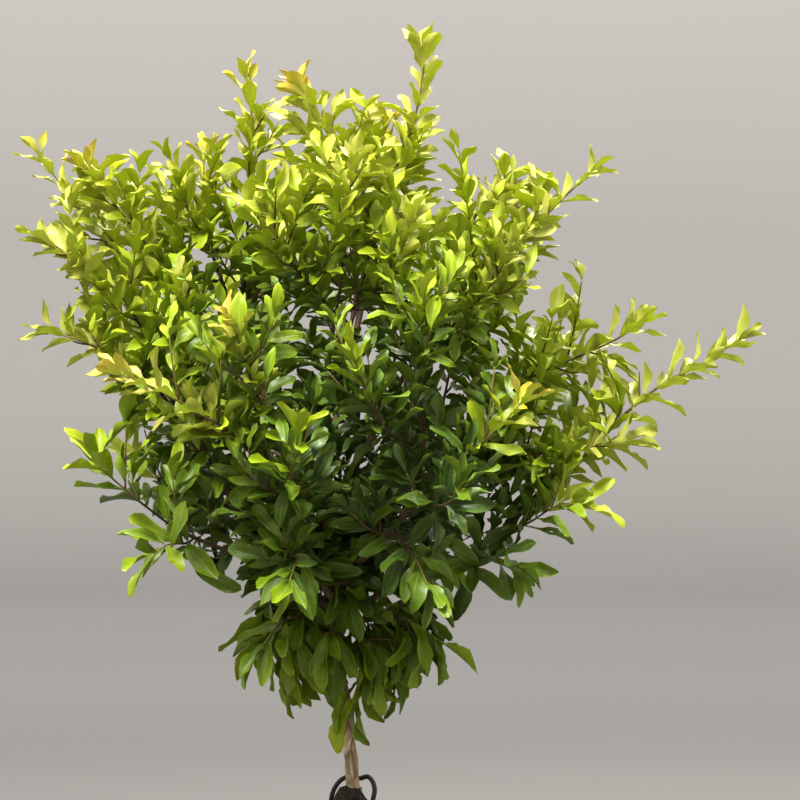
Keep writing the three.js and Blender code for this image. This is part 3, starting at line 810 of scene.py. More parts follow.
for shoot, (main, *others) in crown.items():
    for number in range(2 * main.pairs):
        if number not in part_leaves[shoot][1]:
            leaves[shoot] += place_leaf(main, number, PAIR_LOOSE, True)
    tufts = Twig(shoot, TUFT_FIRST, main.course, main.pairs, TUFT_BARE, TUFT_VIGOUR)
    for number in range(2 * tufts.pairs):
        height = main.course.at(mix(tufts.bare, 1, number / (2 * tufts.pairs)))[2]
        if draw(shoot, TUFT_FIRST + number, 17) < mix(0.4, 0.85, rise(215, 275, height)):
            leaves[shoot] += place_leaf(tufts, number, TUFT_LOOSE, False)
for shoot, (main, *others) in crown.items():
    bearing = [main]
    for twig in others:
        found = []
        for number in range(2 * twig.pairs + 1):
            found += place_leaf(twig, number, SIDE_LOOSE, False)
        leaves[shoot] += found
        if len(found) >= FEWEST_ON_TWIG:
            twig.end = max(pose.share for pose in found)
            bearing.append(twig)
    crown[shoot] = bearing
print("leaves", sum(len(poses) for poses in leaves.values()))

# %% [markdown]
# A leaf and a twig are both spindles: rings of points between two end points. One list of corners
# serves every leaf. The leaf's ring is a thin lens, folded up along the rib, arched back, a little
# twisted and waved at its edges. The rib stands out on the underside, and the stalk is its start.

# %% Spindles
def spindle(rings, sides):
    """Corners, face sizes, and each corner's ring and side, for rings between two end points."""
    corners, sizes, ring_of, side_of, face_side = [], [], [], [], []
    last = 1 + rings * sides
    for s in range(sides):
        t = (s + 1) % sides
        corners += [0, 1 + t, 1 + s]
        ring_of += [0, 1, 1]
        side_of += [s + 0.5, s + 1, s]
        sizes.append(3)
        for r in range(rings - 1):
            a = 1 + r * sides
            corners += [a + s, a + t, a + sides + t, a + sides + s]
            ring_of += [r + 1, r + 1, r + 2, r + 2]
            side_of += [s, s + 1, s + 1, s]
            sizes.append(4)
        a = 1 + (rings - 1) * sides
        corners += [a + s, a + t, last]
        ring_of += [rings, rings, rings + 1]
        side_of += [s, s + 1, s + 0.5]
        sizes.append(3)
        face_side += [s] * (6 + 4 * (rings - 1))
    return [np.array(values) for values in (corners, sizes, ring_of, side_of, face_side)]


LEAF_ROWS = np.array([0.07, 0.18, 0.34, 0.50, 0.66, 0.82, 0.95])
LEAF_RING = np.array([-1, -0.5, 0, 0.5, 1, 0.5, 0, -0.5, -1])
LEAF_SIDES, UPPER_SIDES = 8, 4
LEAF_SHAPE = spindle(len(LEAF_ROWS), LEAF_SIDES)
BLADE_START, BLADE_FULL = 0.05, 0.2
STALK_HALF_WIDTH, STALK_HALF_DEPTH = 0.38, 0.32
BLADE_HALF_DEPTH, RIB_DEPTH = 0.16, 0.35
TIP_BELOW, TIP_ABOVE, TIP_VARIES = 0.60, 0.74, 0.3
FULLNESS_BELOW, FULLNESS_ABOVE, FULLNESS_VARIES = 1.08, 1.28, 0.4
LEAST_FOLD, MOST_FOLD = 0.1, 0.9
WAVE_HEIGHT, WAVES = 0.068, 9
TWIST_VARIES, BOW_VARIES = 150, 0.1


def leaf_points(pose):
    """The 58 points of one leaf."""
    u, v = LEAF_ROWS[:, None], LEAF_RING[None, :-1]
    above = np.sign(np.arange(8) % 4) * np.where(np.arange(8) < UPPER_SIDES, 1, -1)
    blade = np.clip((u - BLADE_START) / (1 - BLADE_START), 0, 1)
    upper = rise(230, 400, pose.root[2])
    tip = mix(TIP_BELOW, TIP_ABOVE, upper) + TIP_VARIES * (pose.chance(28) - 0.5)
    widest = 1 / (1 + tip)
    outline = blade * (1 - blade) ** tip / (widest * (1 - widest) ** tip)
    stalk = 1 - np.clip((u - BLADE_START) / BLADE_FULL, 0, 1)
    fullness = mix(FULLNESS_BELOW, FULLNESS_ABOVE, upper)
    fullness = fullness + FULLNESS_VARIES * (pose.chance(26) - 0.5)
    half = STALK_HALF_WIDTH * stalk + 0.5 * fullness * pose.width * outline
    depth = BLADE_HALF_DEPTH * (1 - abs(v)) * (1 - stalk) + STALK_HALF_DEPTH * stalk
    depth = depth + np.where((v == 0) & (above < 0), RIB_DEPTH * (1 - u) * (1 - stalk), 0)
    fold = mix(LEAST_FOLD, MOST_FOLD, pose.chance(8))
    wave = np.sin(WAVES * u + 6.3 * pose.chance(9) + 2.2 * v) * v**2 * (1 - stalk)
    lift = fold * half * abs(v) ** 1.4 + WAVE_HEIGHT * pose.size * wave + above * depth
    twist = math.radians(TWIST_VARIES * (pose.chance(10) - 0.5)) * (u - 0.3)
    side = np.cross(pose.along, pose.face)
    sideways = side * np.cos(twist) + pose.face * np.sin(twist)
    outwards = pose.face * np.cos(twist) - side * np.sin(twist)
    bow = BOW_VARIES * (pose.chance(11) - 0.5) * pose.size * 4 * u * (1 - u)
    middle = rib(pose, LEAF_ROWS) + side * bow
    rings = (middle[:, None, :] + sideways[:, None, :] * (half * v)[..., None]
             + outwards[:, None, :] * lift[..., None])
    return np.vstack([pose.root, rings.reshape(-1, 3), rib(pose, (1.0,))])


def tube_points(course, shares, radii, sides, end=1.0):
    """Rings of points round a course, between its foot and its end."""
    turn = np.arange(sides) * 2 * math.pi / sides
    rings = []
    for share, radius in zip(shares, radii):
        tangent, across, over = course.cross(share)
        rings.append(course.at(share) + radius * (
            np.cos(turn)[:, None] * across + np.sin(turn)[:, None] * over))
    return np.vstack([course.at(0), *rings, course.at(end)])


print("triangles in a leaf", (LEAF_SHAPE[1] - 2).sum())

# %% [markdown]
# Young leaves at the top and the outside of the crown are lime, and some tips are flushed with
# orange. The further in and down, the older and deeper green the leaves are: partly real age and
# partly painted shade. A few deep pockets get painted shade and are darker than that, and a few
# sunny places get painted light and are lighter. Each of them is a place with a radius, and how
# strongly it counts. The low skirt and some shoots are lighter too, as painted light, and some
# shoots are flushed at their tips.

# %% Age and flush of a leaf
SHADE_CENTRE = np.array((0, 0, 250))
DEPTH_WEIGHT = np.array((1.08, 0.8, 1))
SHADE_RADIUS, LIGHT_RADIUS = 60, 285
# Painted shade: deep pockets of the crown where the leaves are darkened, each a place, a radius and
# a depth.
PAINTED_SHADE_POCKETS = [
    ((24, -60, 312), 82, 0.95), ((-66, -40, 402), 46, 0.6), ((55, -85, 275), 60, 0.8),
    ((-132, -42, 262), 55, 0.85),
]
SUNNY = [
    ((120, -10, 370), 75, 0.22), ((150, -20, 285), 60, 0.18), ((-92, -60, 325), 48, 0.2),
    ((-88, -70, 268), 52, 0.2), ((-40, -90, 250), 36, 0.12), ((45, -70, 245), 32, 0.14),
]
# The skirt's share lightens the low leaves as painted light from the front.
SIDE_YOUTH, SKIRT_PAINTED_LIGHT, YOUTH_VARIES = 0.85, 0.28, 0.46
# Painted light on a few shoots that stand in the light, by shoot number.
PAINTED_LIGHT_SHOOTS = {18: 0.25, 19: 0.35, 20: 0.35, 22: 0.1, 33: 0.3, 44: 0.15, 45: 0.15, 53: 0.2}
FLUSHED = {1: 1.0, 2: 0.9, 9: 0.5, 10: 1.0, 12: 0.8, 13: 0.4, 19: 0.9, 20: 1.0, 33: 0.7}
TOP_FLUSH = 0.13


def leaf_look(pose, shoot):
    """Youth of a leaf, with painted light and shade in it, and its flush, each from 0 to 1."""
    middle = pose.root + pose.along * pose.size * 0.5

    def distance(place):
        return np.linalg.norm((middle - place) * DEPTH_WEIGHT)

    # Far from the crown's middle the leaves are younger and lighter: partly real age, partly
    # painted shade deep inside.
    youth = rise(SHADE_RADIUS, LIGHT_RADIUS, distance(SHADE_CENTRE))
    youth = youth * (1 if pose.main else SIDE_YOUTH)
    if pose.main:
        youth += (0.5 * pose.share - 0.14) * rise(235, 330, middle[2])
    # Painted light: the leaves of the low skirt are lightened, as if lit from the front.
    youth += SKIRT_PAINTED_LIGHT * (1 - rise(190, 250, middle[2]))
    # Painted shade: the leaves in a few deep pockets are darkened.
    for place, radius, depth in PAINTED_SHADE_POCKETS:
        youth *= 1 - depth * math.exp(-((distance(place) / radius) ** 2))
    for place, radius, gain in SUNNY:
        youth += gain * math.exp(-((distance(place) / radius) ** 2))
    # Painted light: a few shoots are lightened towards their tips.
    youth += PAINTED_LIGHT_SHOOTS.get(shoot, 0) * pose.main * rise(0.0, 0.5, pose.share)
    youth += YOUTH_VARIES * (pose.chance(12) - 0.5) * mix(0.35, 1, min(youth, 1))
    flush = FLUSHED.get(shoot, 0) * mix(0.5, 1, pose.chance(13))
    flush = pose.main * rise(0.62, 0.95, pose.share) * flush
    flush = max(flush, TOP_FLUSH * rise(400, 520, middle[2]))
    return min(max(youth, 0), 1), flush, 0


# %% [markdown]
# Blender makes a mesh fastest from long arrays of numbers. A clump gathers the points of its leaves
# and twigs and writes them in one go. It also carries two attributes for the finishes: the place on
# a leaf, along and across it and which side is up, and the look, which is its youth, with painted
# light and shade in it, and its flush.


# %% Meshes from arrays
def write_vectors(collection, name, values):
    collection.foreach_set(name, np.asarray(values, np.float32).ravel())


def read_vectors(collection, name):
    values = np.empty(len(collection) * 3, np.float32)
    collection.foreach_get(name, values)
    return values.reshape(-1, 3).astype(float)


def add_attribute(mesh, name, domain, values):
    write_vectors(mesh.attributes.new(name, "FLOAT_VECTOR", domain).data, "vector", values)


class Clump:
    def __init__(self):
        self.count = 0
        self.points, self.corners, self.sizes, self.finish = [], [], [], []
        self.uv, self.place, self.look = [], [], []

    def add(self, points, shape, finish=0, uv=None, place=None, look=(0, 0, 0)):
        corners, sizes = shape[:2]
        self.corners.append(corners + self.count)
        self.count += len(points)
        self.points.append(points)
        self.sizes.append(sizes)
        self.finish.append(np.full(len(sizes), finish))
        self.uv.append(np.zeros((len(corners), 2)) if uv is None else uv)
        self.place.append(np.zeros((len(corners), 3)) if place is None else place)
        self.look.append(np.broadcast_to(look, (len(points), 3)))

    def mesh(self, name):
        mesh = bpy.data.meshes.new(name)
        corners, sizes = np.concatenate(self.corners), np.concatenate(self.sizes)
        mesh.vertices.add(self.count)
        write_vectors(mesh.vertices, "co", np.vstack(self.points) / 1000)
        mesh.loops.add(len(corners))
        mesh.loops.foreach_set("vertex_index", corners.astype(np.int32))
        mesh.polygons.add(len(sizes))
        mesh.polygons.foreach_set("loop_start", (np.cumsum(sizes) - sizes).astype(np.int32))
        mesh.polygons.foreach_set("material_index", np.concatenate(self.finish).astype(np.int32))
        mesh.update(calc_edges=True)
        write_vectors(mesh.uv_layers.new(name="OFBake").uv, "vector", np.vstack(self.uv))
        add_attribute(mesh, "place", "CORNER", np.vstack(self.place))
        add_attribute(mesh, "look", "POINT", np.vstack(self.look))
        mesh.shade_smooth()
        mesh.set_sharp_from_angle(angle=math.radians(75))
        return mesh


# %% [markdown]
# A leaf skin is glossy above and dull below, with a paler rib and faint side veins. Light goes
# through it, so a Translucent shader is mixed in: it is what makes the top of the crown glow.


# %% Leaf finish
def read_attribute(tree, name):
    """The three numbers of an attribute."""
    vector = Wire.node(tree, "ShaderNodeAttribute", {"attribute_name": name}, output="Vector")
    split = Wire.node(tree, "ShaderNodeSeparateXYZ", None, {"Vector": vector})
    return [Wire(socket) for socket in split.socket.node.outputs]


GREENS = [
    (0.0, (0.022, 0.050, 0.003)), (0.3, (0.114, 0.198, 0.004)), (0.52, (0.300, 0.398, 0.006)),
    (0.76, (0.448, 0.500, 0.024)), (1.0, (0.540, 0.535, 0.105)),
]
PALE_GREENS = [
    (0.0, (0.085, 0.150, 0.020)), (0.6, (0.330, 0.430, 0.050)), (1.0, (0.64, 0.62, 0.12)),
]
BLUSH = (0.80, 0.43, 0.030)
GLOW = (0.46, 0.55, 0.02)

leaf_skin, tree = new_finish("pomegranate_leaf")
along, across, under = read_attribute(tree, "place")
youth, flush = read_attribute(tree, "look")[:2]
place = place_on_piece(tree)
mottle = grain(place, 5)
margin = abs(across).between(0.55, 1.0)
# The youth holds painted light and shade as well, so the greens are lighter where light falls and
# darker deep in the crown.
green = (youth + 0.2 * (mottle - 0.5) + 0.14 * (along - 0.5) + 0.08 * margin).ramp(GREENS)
blush = flush * along.between(0.15, 0.9)
rib_line = (1 - abs(across).between(0.02, 0.14)) * (1 - along.between(0.7, 1.0))
veins = ((along * 11.0 - abs(across) * 1.7) * (2 * math.pi)).sine().between(0.72, 1.0)
veins = veins * (1 - abs(across).between(0.75, 1.0))
pale = youth.ramp(PALE_GREENS)
skin = (rib_line * 0.65 + veins * 0.12).pick(blush.pick(green, BLUSH), pale)
skin = (under * 0.35).pick(skin, pale)
dull = 0.30 + 0.14 * grain(place, 2.5) + under * 0.25
relief = bump(veins * 0.35 - rib_line * 0.8 + mottle * 0.4, 0.25, 0.6)
through = Wire.node(tree, "ShaderNodeBsdfTranslucent", None, {"Color": GLOW})
thin = (0.05 + 0.47 * youth) * (1 - rib_line * 0.4) * (1 - blush * 0.6)
body = principled(skin, dull, 0.32, relief)
end_finish(Wire.node(tree, "ShaderNodeMixShader", None, {0: thin, 1: body, 2: through}))
print("finish", leaf_skin.name)

# %% [markdown]
# The wood of a young twig is brown with fine streaks along it, and greener towards its tip. The age
# that each twig carries picks the colour, and a stretched noise makes the streaks.

# %% Young twig finish
TWIG_COLOURS = [
    (0.0, (0.045, 0.033, 0.018)), (0.45, (0.070, 0.042, 0.018)), (0.8, (0.125, 0.075, 0.022)),
    (1.0, (0.230, 0.220, 0.030)),
]

twig_bark, tree = new_finish("young_twig")
age = read_attribute(tree, "look")[0]
streak = grain(place_on_piece(tree, (1, 1, 0.4)), 1.6, 4)
colour = (age + 0.3 * (streak - 0.5)).ramp(TWIG_COLOURS)
end_finish(principled(colour, 0.55 + 0.2 * streak, 0.25, bump(streak, 0.2, 0.7)))
print("finish", twig_bark.name)

# %% [markdown]
# Each leafy shoot becomes one piece: its main twig, its side twigs and all their leaves. Every
# leaf gets its own cell on the texture map, its upper side on the left and its underside on the
# right, and the twigs share a strip below them.

# %% Leafy shoots of the tree
TWIG_STRIP = 0.08
TWIG_SIDES = 5
TWIG_TIP_RADIUS = 0.42
TWIG_TAPER = 0.0062
NODE_SWELLING = 0.14
MAIN_AGE, SIDE_AGE = 0.25, 0.45
LEAF_ALONG = np.array([0, *LEAF_ROWS, 1])[LEAF_SHAPE[2]]
LEAF_ACROSS = np.interp(LEAF_SHAPE[3], np.arange(LEAF_SIDES + 1), LEAF_RING)
LEAF_UNDER = (LEAF_SHAPE[4] >= UPPER_SIDES).astype(float)
LEAF_PLACE = np.stack([LEAF_ALONG, LEAF_ACROSS, LEAF_UNDER], axis=1)


def add_leaf(clump, pose, shoot, index, count):
    columns = math.ceil(math.sqrt(count))
    rows = math.ceil(count / columns)
    across = (index % columns + 0.25 + 0.5 * LEAF_UNDER + 0.22 * LEAF_ACROSS) / columns
    upwards = (index // columns + 0.04 + 0.92 * LEAF_ALONG) / rows
    uv = np.stack([across, TWIG_STRIP + (1 - TWIG_STRIP) * upwards], axis=1)
    clump.add(leaf_points(pose), LEAF_SHAPE, 0, uv, LEAF_PLACE, leaf_look(pose, shoot))


def add_tube(clump, course, shares, radii, sides):
    clump.add(tube_points(course, shares, radii, sides), spindle(len(shares), sides))


def add_twig(clump, twig, index, count):
    rings = 2 * twig.pairs + 2
    shares = np.linspace(0.01, 0.98, rings) * twig.end
    taper = TWIG_TAPER * twig.course.length() * (1 - shares / twig.end)
    radii = (TWIG_TIP_RADIUS + taper) * (1 + NODE_SWELLING * (np.arange(rings) % 2))
    shape = spindle(rings, TWIG_SIDES)
    u, v = shape[2] / (rings + 1), shape[3] / TWIG_SIDES
    uv = np.stack([(index + 0.02 + 0.96 * u) / count, TWIG_STRIP * (0.02 + 0.94 * v)], axis=1)
    youth = mix(MAIN_AGE if twig.first == 0 else SIDE_AGE, 1, np.array(
        [0, *np.repeat(shares, TWIG_SIDES), 1]))
    look = np.stack([youth, 0 * youth, 0 * youth], axis=1)
    points = tube_points(twig.course, shares, radii, TWIG_SIDES, twig.end)
    clump.add(points, shape, 1, uv, None, look)


def new_piece(name, mesh, node, slot, *finishes):
    piece = bpy.data.objects.new(name, mesh)
    bpy.context.scene.collection.objects.link(piece)
    for finish in finishes:
        mesh.materials.append(finish)
    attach(piece, "root")
    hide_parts(node)
    return piece


for shoot, twigs in crown.items():
    clump = Clump()
    for index, pose in enumerate(leaves[shoot]):
        add_leaf(clump, pose, shoot, index, len(leaves[shoot]))
    for index, twig in enumerate(twigs):
        add_twig(clump, twig, index, len(twigs))
    name, node = f"leafy_twigs_{shoot + 1:02d}", f"leafy_shoot_{shoot + 1:02d}"
    new_piece(name, clump.mesh(name), node, "foliage", leaf_skin, twig_bark)
print("leafy pieces", len(crown))

# %% [markdown]
# The trunk and its limbs are one piece of wood. Tubes along the same courses are melted together
# by a voxel remesh, which rounds the forks the way growth does. Old pruning scars swell the stem,
# and a fine noise that is stretched along it makes the first ridges. The shader adds the rest.

# %% Trunk and limbs
BARK_SIDES = 14
BARK_FIT = 0.94
RINGS_PER_MM = 0.3
VOXEL_MM = 0.85
SMOOTHINGS = 2
RIDGE_HEIGHT, KNOT_HEIGHT = 0.16, 0.35
SCARS = [
    (118, 40, 1.0), (139, 205, 0.8), (158, -60, 1.1), (176, 95, 0.7), (193, -110, 1.2),
    (211, 30, 1.0),
]
SCAR_DISTANCE, SCAR_WIDTH, SCAR_HEIGHT = 3.6, 4.0, 0.9
HOLLOW_SHARE, HOLLOW_DEPTH = 0.4, 0.8

wood = Clump()
axis = []
for name, course in limb_courses.items():
    radii = LIMBS[name][1]
    shares = np.linspace(0, 1, max(8, round(course.length() * RINGS_PER_MM)))
    radii = np.interp(shares, np.linspace(0, 1, len(radii)), radii)
    add_tube(wood, course, shares, radii * BARK_FIT, BARK_SIDES)
    axis += [(course.at(share), round(radius, 3)) for share, radius in zip(shares, radii)]
axis_at = KDTree(len(axis))
for index, (point, radius) in enumerate(axis):
    axis_at.insert(point, index)
axis_at.balance()


def settle(piece):
    """Gives a piece the mesh that its modifiers make."""
    shaped = piece.evaluated_get(bpy.context.evaluated_depsgraph_get())
    piece.data = bpy.data.meshes.new_from_object(shaped)
    piece.modifiers.clear()


def scar_place(height, azimuth):
    """Where an old pruning scar sits on the stem."""
    stem = limb_courses["leader"]
    share = next(t for t in np.linspace(0, 1, 400) if stem.at(t)[2] >= height)
    turn = math.radians(azimuth)
    return stem.at(share) + SCAR_DISTANCE * np.array((math.cos(turn), math.sin(turn), 0))


scars = [(scar_place(height, azimuth), size) for height, azimuth, size in SCARS]


def bark_relief(point, girth):
    """How far the bark stands out at a point, in millimetres."""
    x, y, z = point
    ridge = noise.noise(Vector((x * 0.9, y * 0.9, z * 0.2)))
    knot = noise.noise(Vector((x * 0.3, y * 0.3, z * 0.13)) + Vector((9, 4, 2)))
    height = RIDGE_HEIGHT * ridge * min(girth / 3, 1.3) + KNOT_HEIGHT * knot * min(girth / 4, 1)
    for place, size in scars:
        away = math.dist(point, place) / (SCAR_WIDTH * size)
        hollow = HOLLOW_DEPTH * math.exp(-((away / HOLLOW_SHARE) ** 2))
        height += SCAR_HEIGHT * size * (math.exp(-away**2) - hollow)
    return height


blank_trunk = bpy.data.objects.new("blank_trunk", wood.mesh("blank_trunk"))
bpy.context.scene.collection.objects.link(blank_trunk)
melt = blank_trunk.modifiers.new("melt", "REMESH")
melt.mode = "VOXEL"
melt.voxel_size = VOXEL_MM / 1000
soften = blank_trunk.modifiers.new("soften", "SMOOTH")
soften.iterations = SMOOTHINGS
settle(blank_trunk)
trunk_mesh = blank_trunk.data
bpy.data.objects.remove(blank_trunk)

points = read_vectors(trunk_mesh.vertices, "co") * 1000
normals = read_vectors(trunk_mesh.vertex_normals, "vector")
girths = np.array([axis[axis_at.find(point)[1]][1] for point in points])
reliefs = np.array([bark_relief(point, girth) for point, girth in zip(points, girths)])
write_vectors(trunk_mesh.vertices, "co", (points + normals * reliefs[:, None]) / 1000)
trunk_mesh.update()
trunk_looks = np.stack([girths / 7, points[:, 2] / 560, 0 * girths], axis=1)
add_attribute(trunk_mesh, "look", "POINT", trunk_looks)
trunk_mesh.shade_smooth()
print("trunk faces", len(trunk_mesh.polygons))

# %% [markdown]
# Old pomegranate bark is tan and splits into plates along the stem. Where a plate has dropped, the
# fresh bark is cream. Near the soil it is a little green with algae, and thin limbs are still dark
# and reddish. Stretched noise gives the plates, and the gaps between Voronoi cells are the cracks.

# %% Bark finish
TAN, LIGHT_TAN = (0.400, 0.250, 0.128), (0.700, 0.505, 0.295)
CREAM, ALGAE = (0.880, 0.745, 0.525), (0.230, 0.220, 0.100)
FIBRE, CRACK = (0.200, 0.115, 0.058), (0.120, 0.070, 0.038)
THIN_LIMB, THIN_LIMB_LIGHT = (0.070, 0.040, 0.022), (0.125, 0.075, 0.040)

old_bark, tree = new_finish("pomegranate_bark")
girth, height = read_attribute(tree, "look")[:2]
along_stem = place_on_piece(tree, (1, 1, 0.3))
plates = grain(along_stem, 5, 4)
dropped = grain(place_on_piece(tree, (1, 1, 0.42)), 9).between(0.53, 0.62)
fibre = grain(place_on_piece(tree, (1, 1, 0.12)), 1.1, 4)
gap = Wire.node(
    tree, "ShaderNodeTexVoronoi", {"feature": "DISTANCE_TO_EDGE"},
    {"Vector": along_stem, "Scale": 1000 / 4.5, "Randomness": 1.0}, "Distance",
)
crack = (1 - gap.between(0.02, 0.16)) * girth.between(0.3, 0.5)
algae = (1 - height.between(0.17, 0.26)) * plates.between(0.4, 0.6)
bark = plates.between(0.36, 0.62).pick(TAN, LIGHT_TAN)
for mask, colour in (
    (dropped * girth.between(0.32, 0.5), CREAM), (fibre.between(0.52, 0.78) * 0.4, FIBRE),
    (crack * 0.7, CRACK), (algae * 0.35, ALGAE),
):
    bark = mask.pick(bark, colour)
slender = plates.between(0.4, 0.65).pick(THIN_LIMB, THIN_LIMB_LIGHT)
bark = girth.between(0.27, 0.48).pick(slender, bark)
relief = bump(plates * 0.6 + fibre * 0.5 - crack * 0.9 - dropped * 0.3, 0.5, 0.8)
end_finish(principled(bark, 0.72 + 0.16 * plates, 0.3, relief))
new_piece("bark_trunk", trunk_mesh, "trunk", "bark", old_bark)
print("finish", old_bark.name)

# %% [markdown]
# The soil rises in a small mound to the trunk. Its surface is turned like a pot, and then raised to
# the mound's height with some noise, so that one helper makes soil, pot and backdrop. It is closed
# below like the solid.

# %% Soil
FOOT_RADIUS, SHOULDER_RADIUS, FOOT_Z, RIM_Z = 66, 91, 4, 88
WALL, FLOOR_Z = 6.5, 9
CLEARANCE = 0.35
SOIL_TOP = 78
MOUND = [
    (0, 104.2), (3, 103.9), (5, 103.1), (6.8, 101.6), (8.2, 99.4), (9.4, 96.6), (11, 93.4),
    (13.4, 90.4), (17, 88.2), (24, 86.4), (40, 84.4),
]
MOUND_RINGS, MOUND_SEGMENTS = 56, 96
ROUGHNESS_MM = 1.1


def pot_inside(z):
    """Radius of the pot's inner wall at a height."""
    share = math.sqrt(max(z - FOOT_Z, 0) / (RIM_Z - FOOT_Z))
    return mix(FOOT_RADIUS, SHOULDER_RADIUS, share) - WALL


SOIL_RADIUS = pot_inside(SOIL_TOP) - CLEARANCE


def mound_height(x, y):
    """Height of the soil at a place, in millimetres."""
    radius = math.hypot(x, y)
    radii, heights = zip(*MOUND, (SOIL_RADIUS, SOIL_TOP))
    rough = noise.noise(Vector((x, y, 3)) / 6) + 0.6 * noise.noise(Vector((x, y, 8)) / 2.2)
    rough = ROUGHNESS_MM * rough * rise(SOIL_RADIUS, SOIL_RADIUS - 12, radius)
    return np.interp(radius, radii, heights) + rough


underside = [(0, FLOOR_Z + CLEARANCE), (pot_inside(14) - 5.5, FLOOR_Z + CLEARANCE)]
side = [(pot_inside(z) - CLEARANCE, z) for z in (14, 30, 52)]
surface = [(SOIL_RADIUS * (k / MOUND_RINGS) ** 0.85, None) for k in range(MOUND_RINGS, -1, -1)]
soil_points, soil_faces = turned([*underside, *side, *surface], MOUND_SEGMENTS)
soil_points = [(x, y, mound_height(x, y) if z is None else z) for x, y, z in soil_points]
soil_looks = [(0.5, 0, 0)] * len(soil_points)
print("soil radius", round(SOIL_RADIUS, 1), "mm")

# %% [markdown]
# A real mix of grit and peat shows single grains, which a bump in the finish can't give. Loose
# crumbs lie on the soil, each an icosahedron with its corners pushed out of place. Their chance
# comes from one seeded generator, so they fall the same way each time.

# %% Crumbs
CRUMBS = 1100
BIG_CRUMBS, BIG_CRUMB = 0.12, 1.3
golden = (1 + math.sqrt(5)) / 2
CRUMB_CORNERS = [
    Vector(np.roll((a, b * golden, 0), turn)).normalized()
    for turn in range(3) for b in (1, -1) for a in (-1, 1)
]
CRUMB_FACES = [
    (0, 11, 5), (0, 5, 1), (0, 1, 7), (0, 7, 10), (0, 10, 11), (1, 5, 9), (5, 11, 4), (11, 10, 2),
    (10, 7, 6), (7, 1, 8), (3, 9, 4), (3, 4, 2), (3, 2, 6), (3, 6, 8), (3, 8, 9), (4, 9, 5),
    (2, 4, 11), (6, 2, 10), (8, 6, 7), (9, 8, 1),
]

chance = np.random.default_rng(11)
for k in range(CRUMBS):
    radius = math.sqrt(chance.uniform(0.006, 0.93)) * SOIL_RADIUS
    angle = chance.uniform(0, 2 * math.pi)
    size = chance.uniform(0.7, 1.9) * (BIG_CRUMB if chance.random() < BIG_CRUMBS else 1)
    flat, kind = chance.uniform(0.6, 0.95, 3), chance.random()
    x, y = radius * math.cos(angle), radius * math.sin(angle)
    middle = Vector((x, y, mound_height(x, y) + 0.25 * size))
    soil_faces += [tuple(len(soil_points) + c for c in face) for face in CRUMB_FACES]
    for corner in CRUMB_CORNERS:
        away = size * chance.uniform(0.75, 1.15)
        soil_points.append(middle + Vector(c * f for c, f in zip(corner, flat)) * away)
        soil_looks.append((kind, 1, chance.random()))
soil_mesh = smooth_mesh("potting_soil", (np.array(soil_points) / 1000).tolist(), soil_faces)
add_attribute(soil_mesh, "look", "POINT", soil_looks)
soil_mesh.set_sharp_from_angle(angle=math.radians(50))
print("soil faces", len(soil_mesh.polygons))

# %% [markdown]
# Wet peat is almost black and shows its structure by its relief. Among the loose crumbs are brown
# bark, lighter clay and a little pale grit, which a ramp deals out by each crumb's own number.

# %% Soil finish
PEAT, MOIST_PEAT, DAMP = (0.040, 0.029, 0.019), (0.014, 0.011, 0.008), (0.018, 0.013, 0.009)
CRUMB_COLOURS = [
    (0.0, (0.022, 0.015, 0.010)), (0.5, (0.060, 0.040, 0.024)), (0.8, (0.115, 0.078, 0.046)),
    (0.93, (0.130, 0.118, 0.098)), (1.0, (0.300, 0.270, 0.220)),
]

potting_soil, tree = new_finish("potting_soil")
kind, loose = read_attribute(tree, "look")[:2]
place = place_on_piece(tree)
coarse, fine = grain(place, 4, 4), grain(place, 0.8)
peat = coarse.between(0.35, 0.65).pick(MOIST_PEAT, PEAT)
soil = (fine.between(0.45, 0.7) * 0.35).pick(loose.pick(peat, kind.ramp(CRUMB_COLOURS)), DAMP)
end_finish(principled(soil, 0.86 + 0.1 * fine, 0.25, bump(coarse + fine * 0.5, 0.8, 0.8)))
new_piece("potting_soil", soil_mesh, "soil", "soil", potting_soil)
print("finish", potting_soil.name)

# %% [markdown]
# The pot was thrown on a wheel, so it is a profile turned about the axis, with the faint rings
# that fingers leave. Channels under the foot and the drain holes are cut out with Booleans, as a
# potter cuts them out of the leather-hard clay.

# %% Pot
THROWN_RING, THROWN_DEPTH = 5.2, 0.14
POT_SEGMENTS, DRAIN_SEGMENTS = 96, 40
CHANNEL_START, CHANNEL_END, CHANNEL_WIDTH, CHANNEL_DEPTH = 15, 90, 18, 4
DRAIN_RADIUS, DRAIN_DISTANCE = 5, 34
CUT_ANGLES = (90, 210, 330)
BELOW = -5


def thrown(z, side):
    """The wall's radius with the rings of throwing on it."""
    ring = THROWN_DEPTH * math.sin(2 * math.pi * z / THROWN_RING + 0.7 * math.sin(z / 9))
    return pot_inside(z) + (WALL if side > 0 else 0) + side * ring


foot = [(0, 0), (30, 0), (62.4, 0), (64.6, 0.8), (65.8, 2.6)]
outside = [(thrown(z, 1), z) for z in np.linspace(5.5, 70, 48)]
rim = [
    (92.6, 71.2), (94.2, 72.2), (95.0, 73.4), (95.3, 76), (95.3, 79), (95.0, 81.6), (94.3, 83.0),
    (93.0, 83.8), (91.5, 84), (pot_inside(84) + 1.2, 84), (pot_inside(84) + 0.2, 83.4),
]
inside = [(thrown(z, -1), z) for z in np.linspace(82, 15, 30)]
floor = [(pot_inside(12) - 2, 11.2), (pot_inside(14) - 6, FLOOR_Z), (20, FLOOR_Z), (0, FLOOR_Z)]


def turned_mesh(name, profile, segments):
    return smooth_mesh(name, *turned([(r / 1000, z / 1000) for r, z in profile], segments))


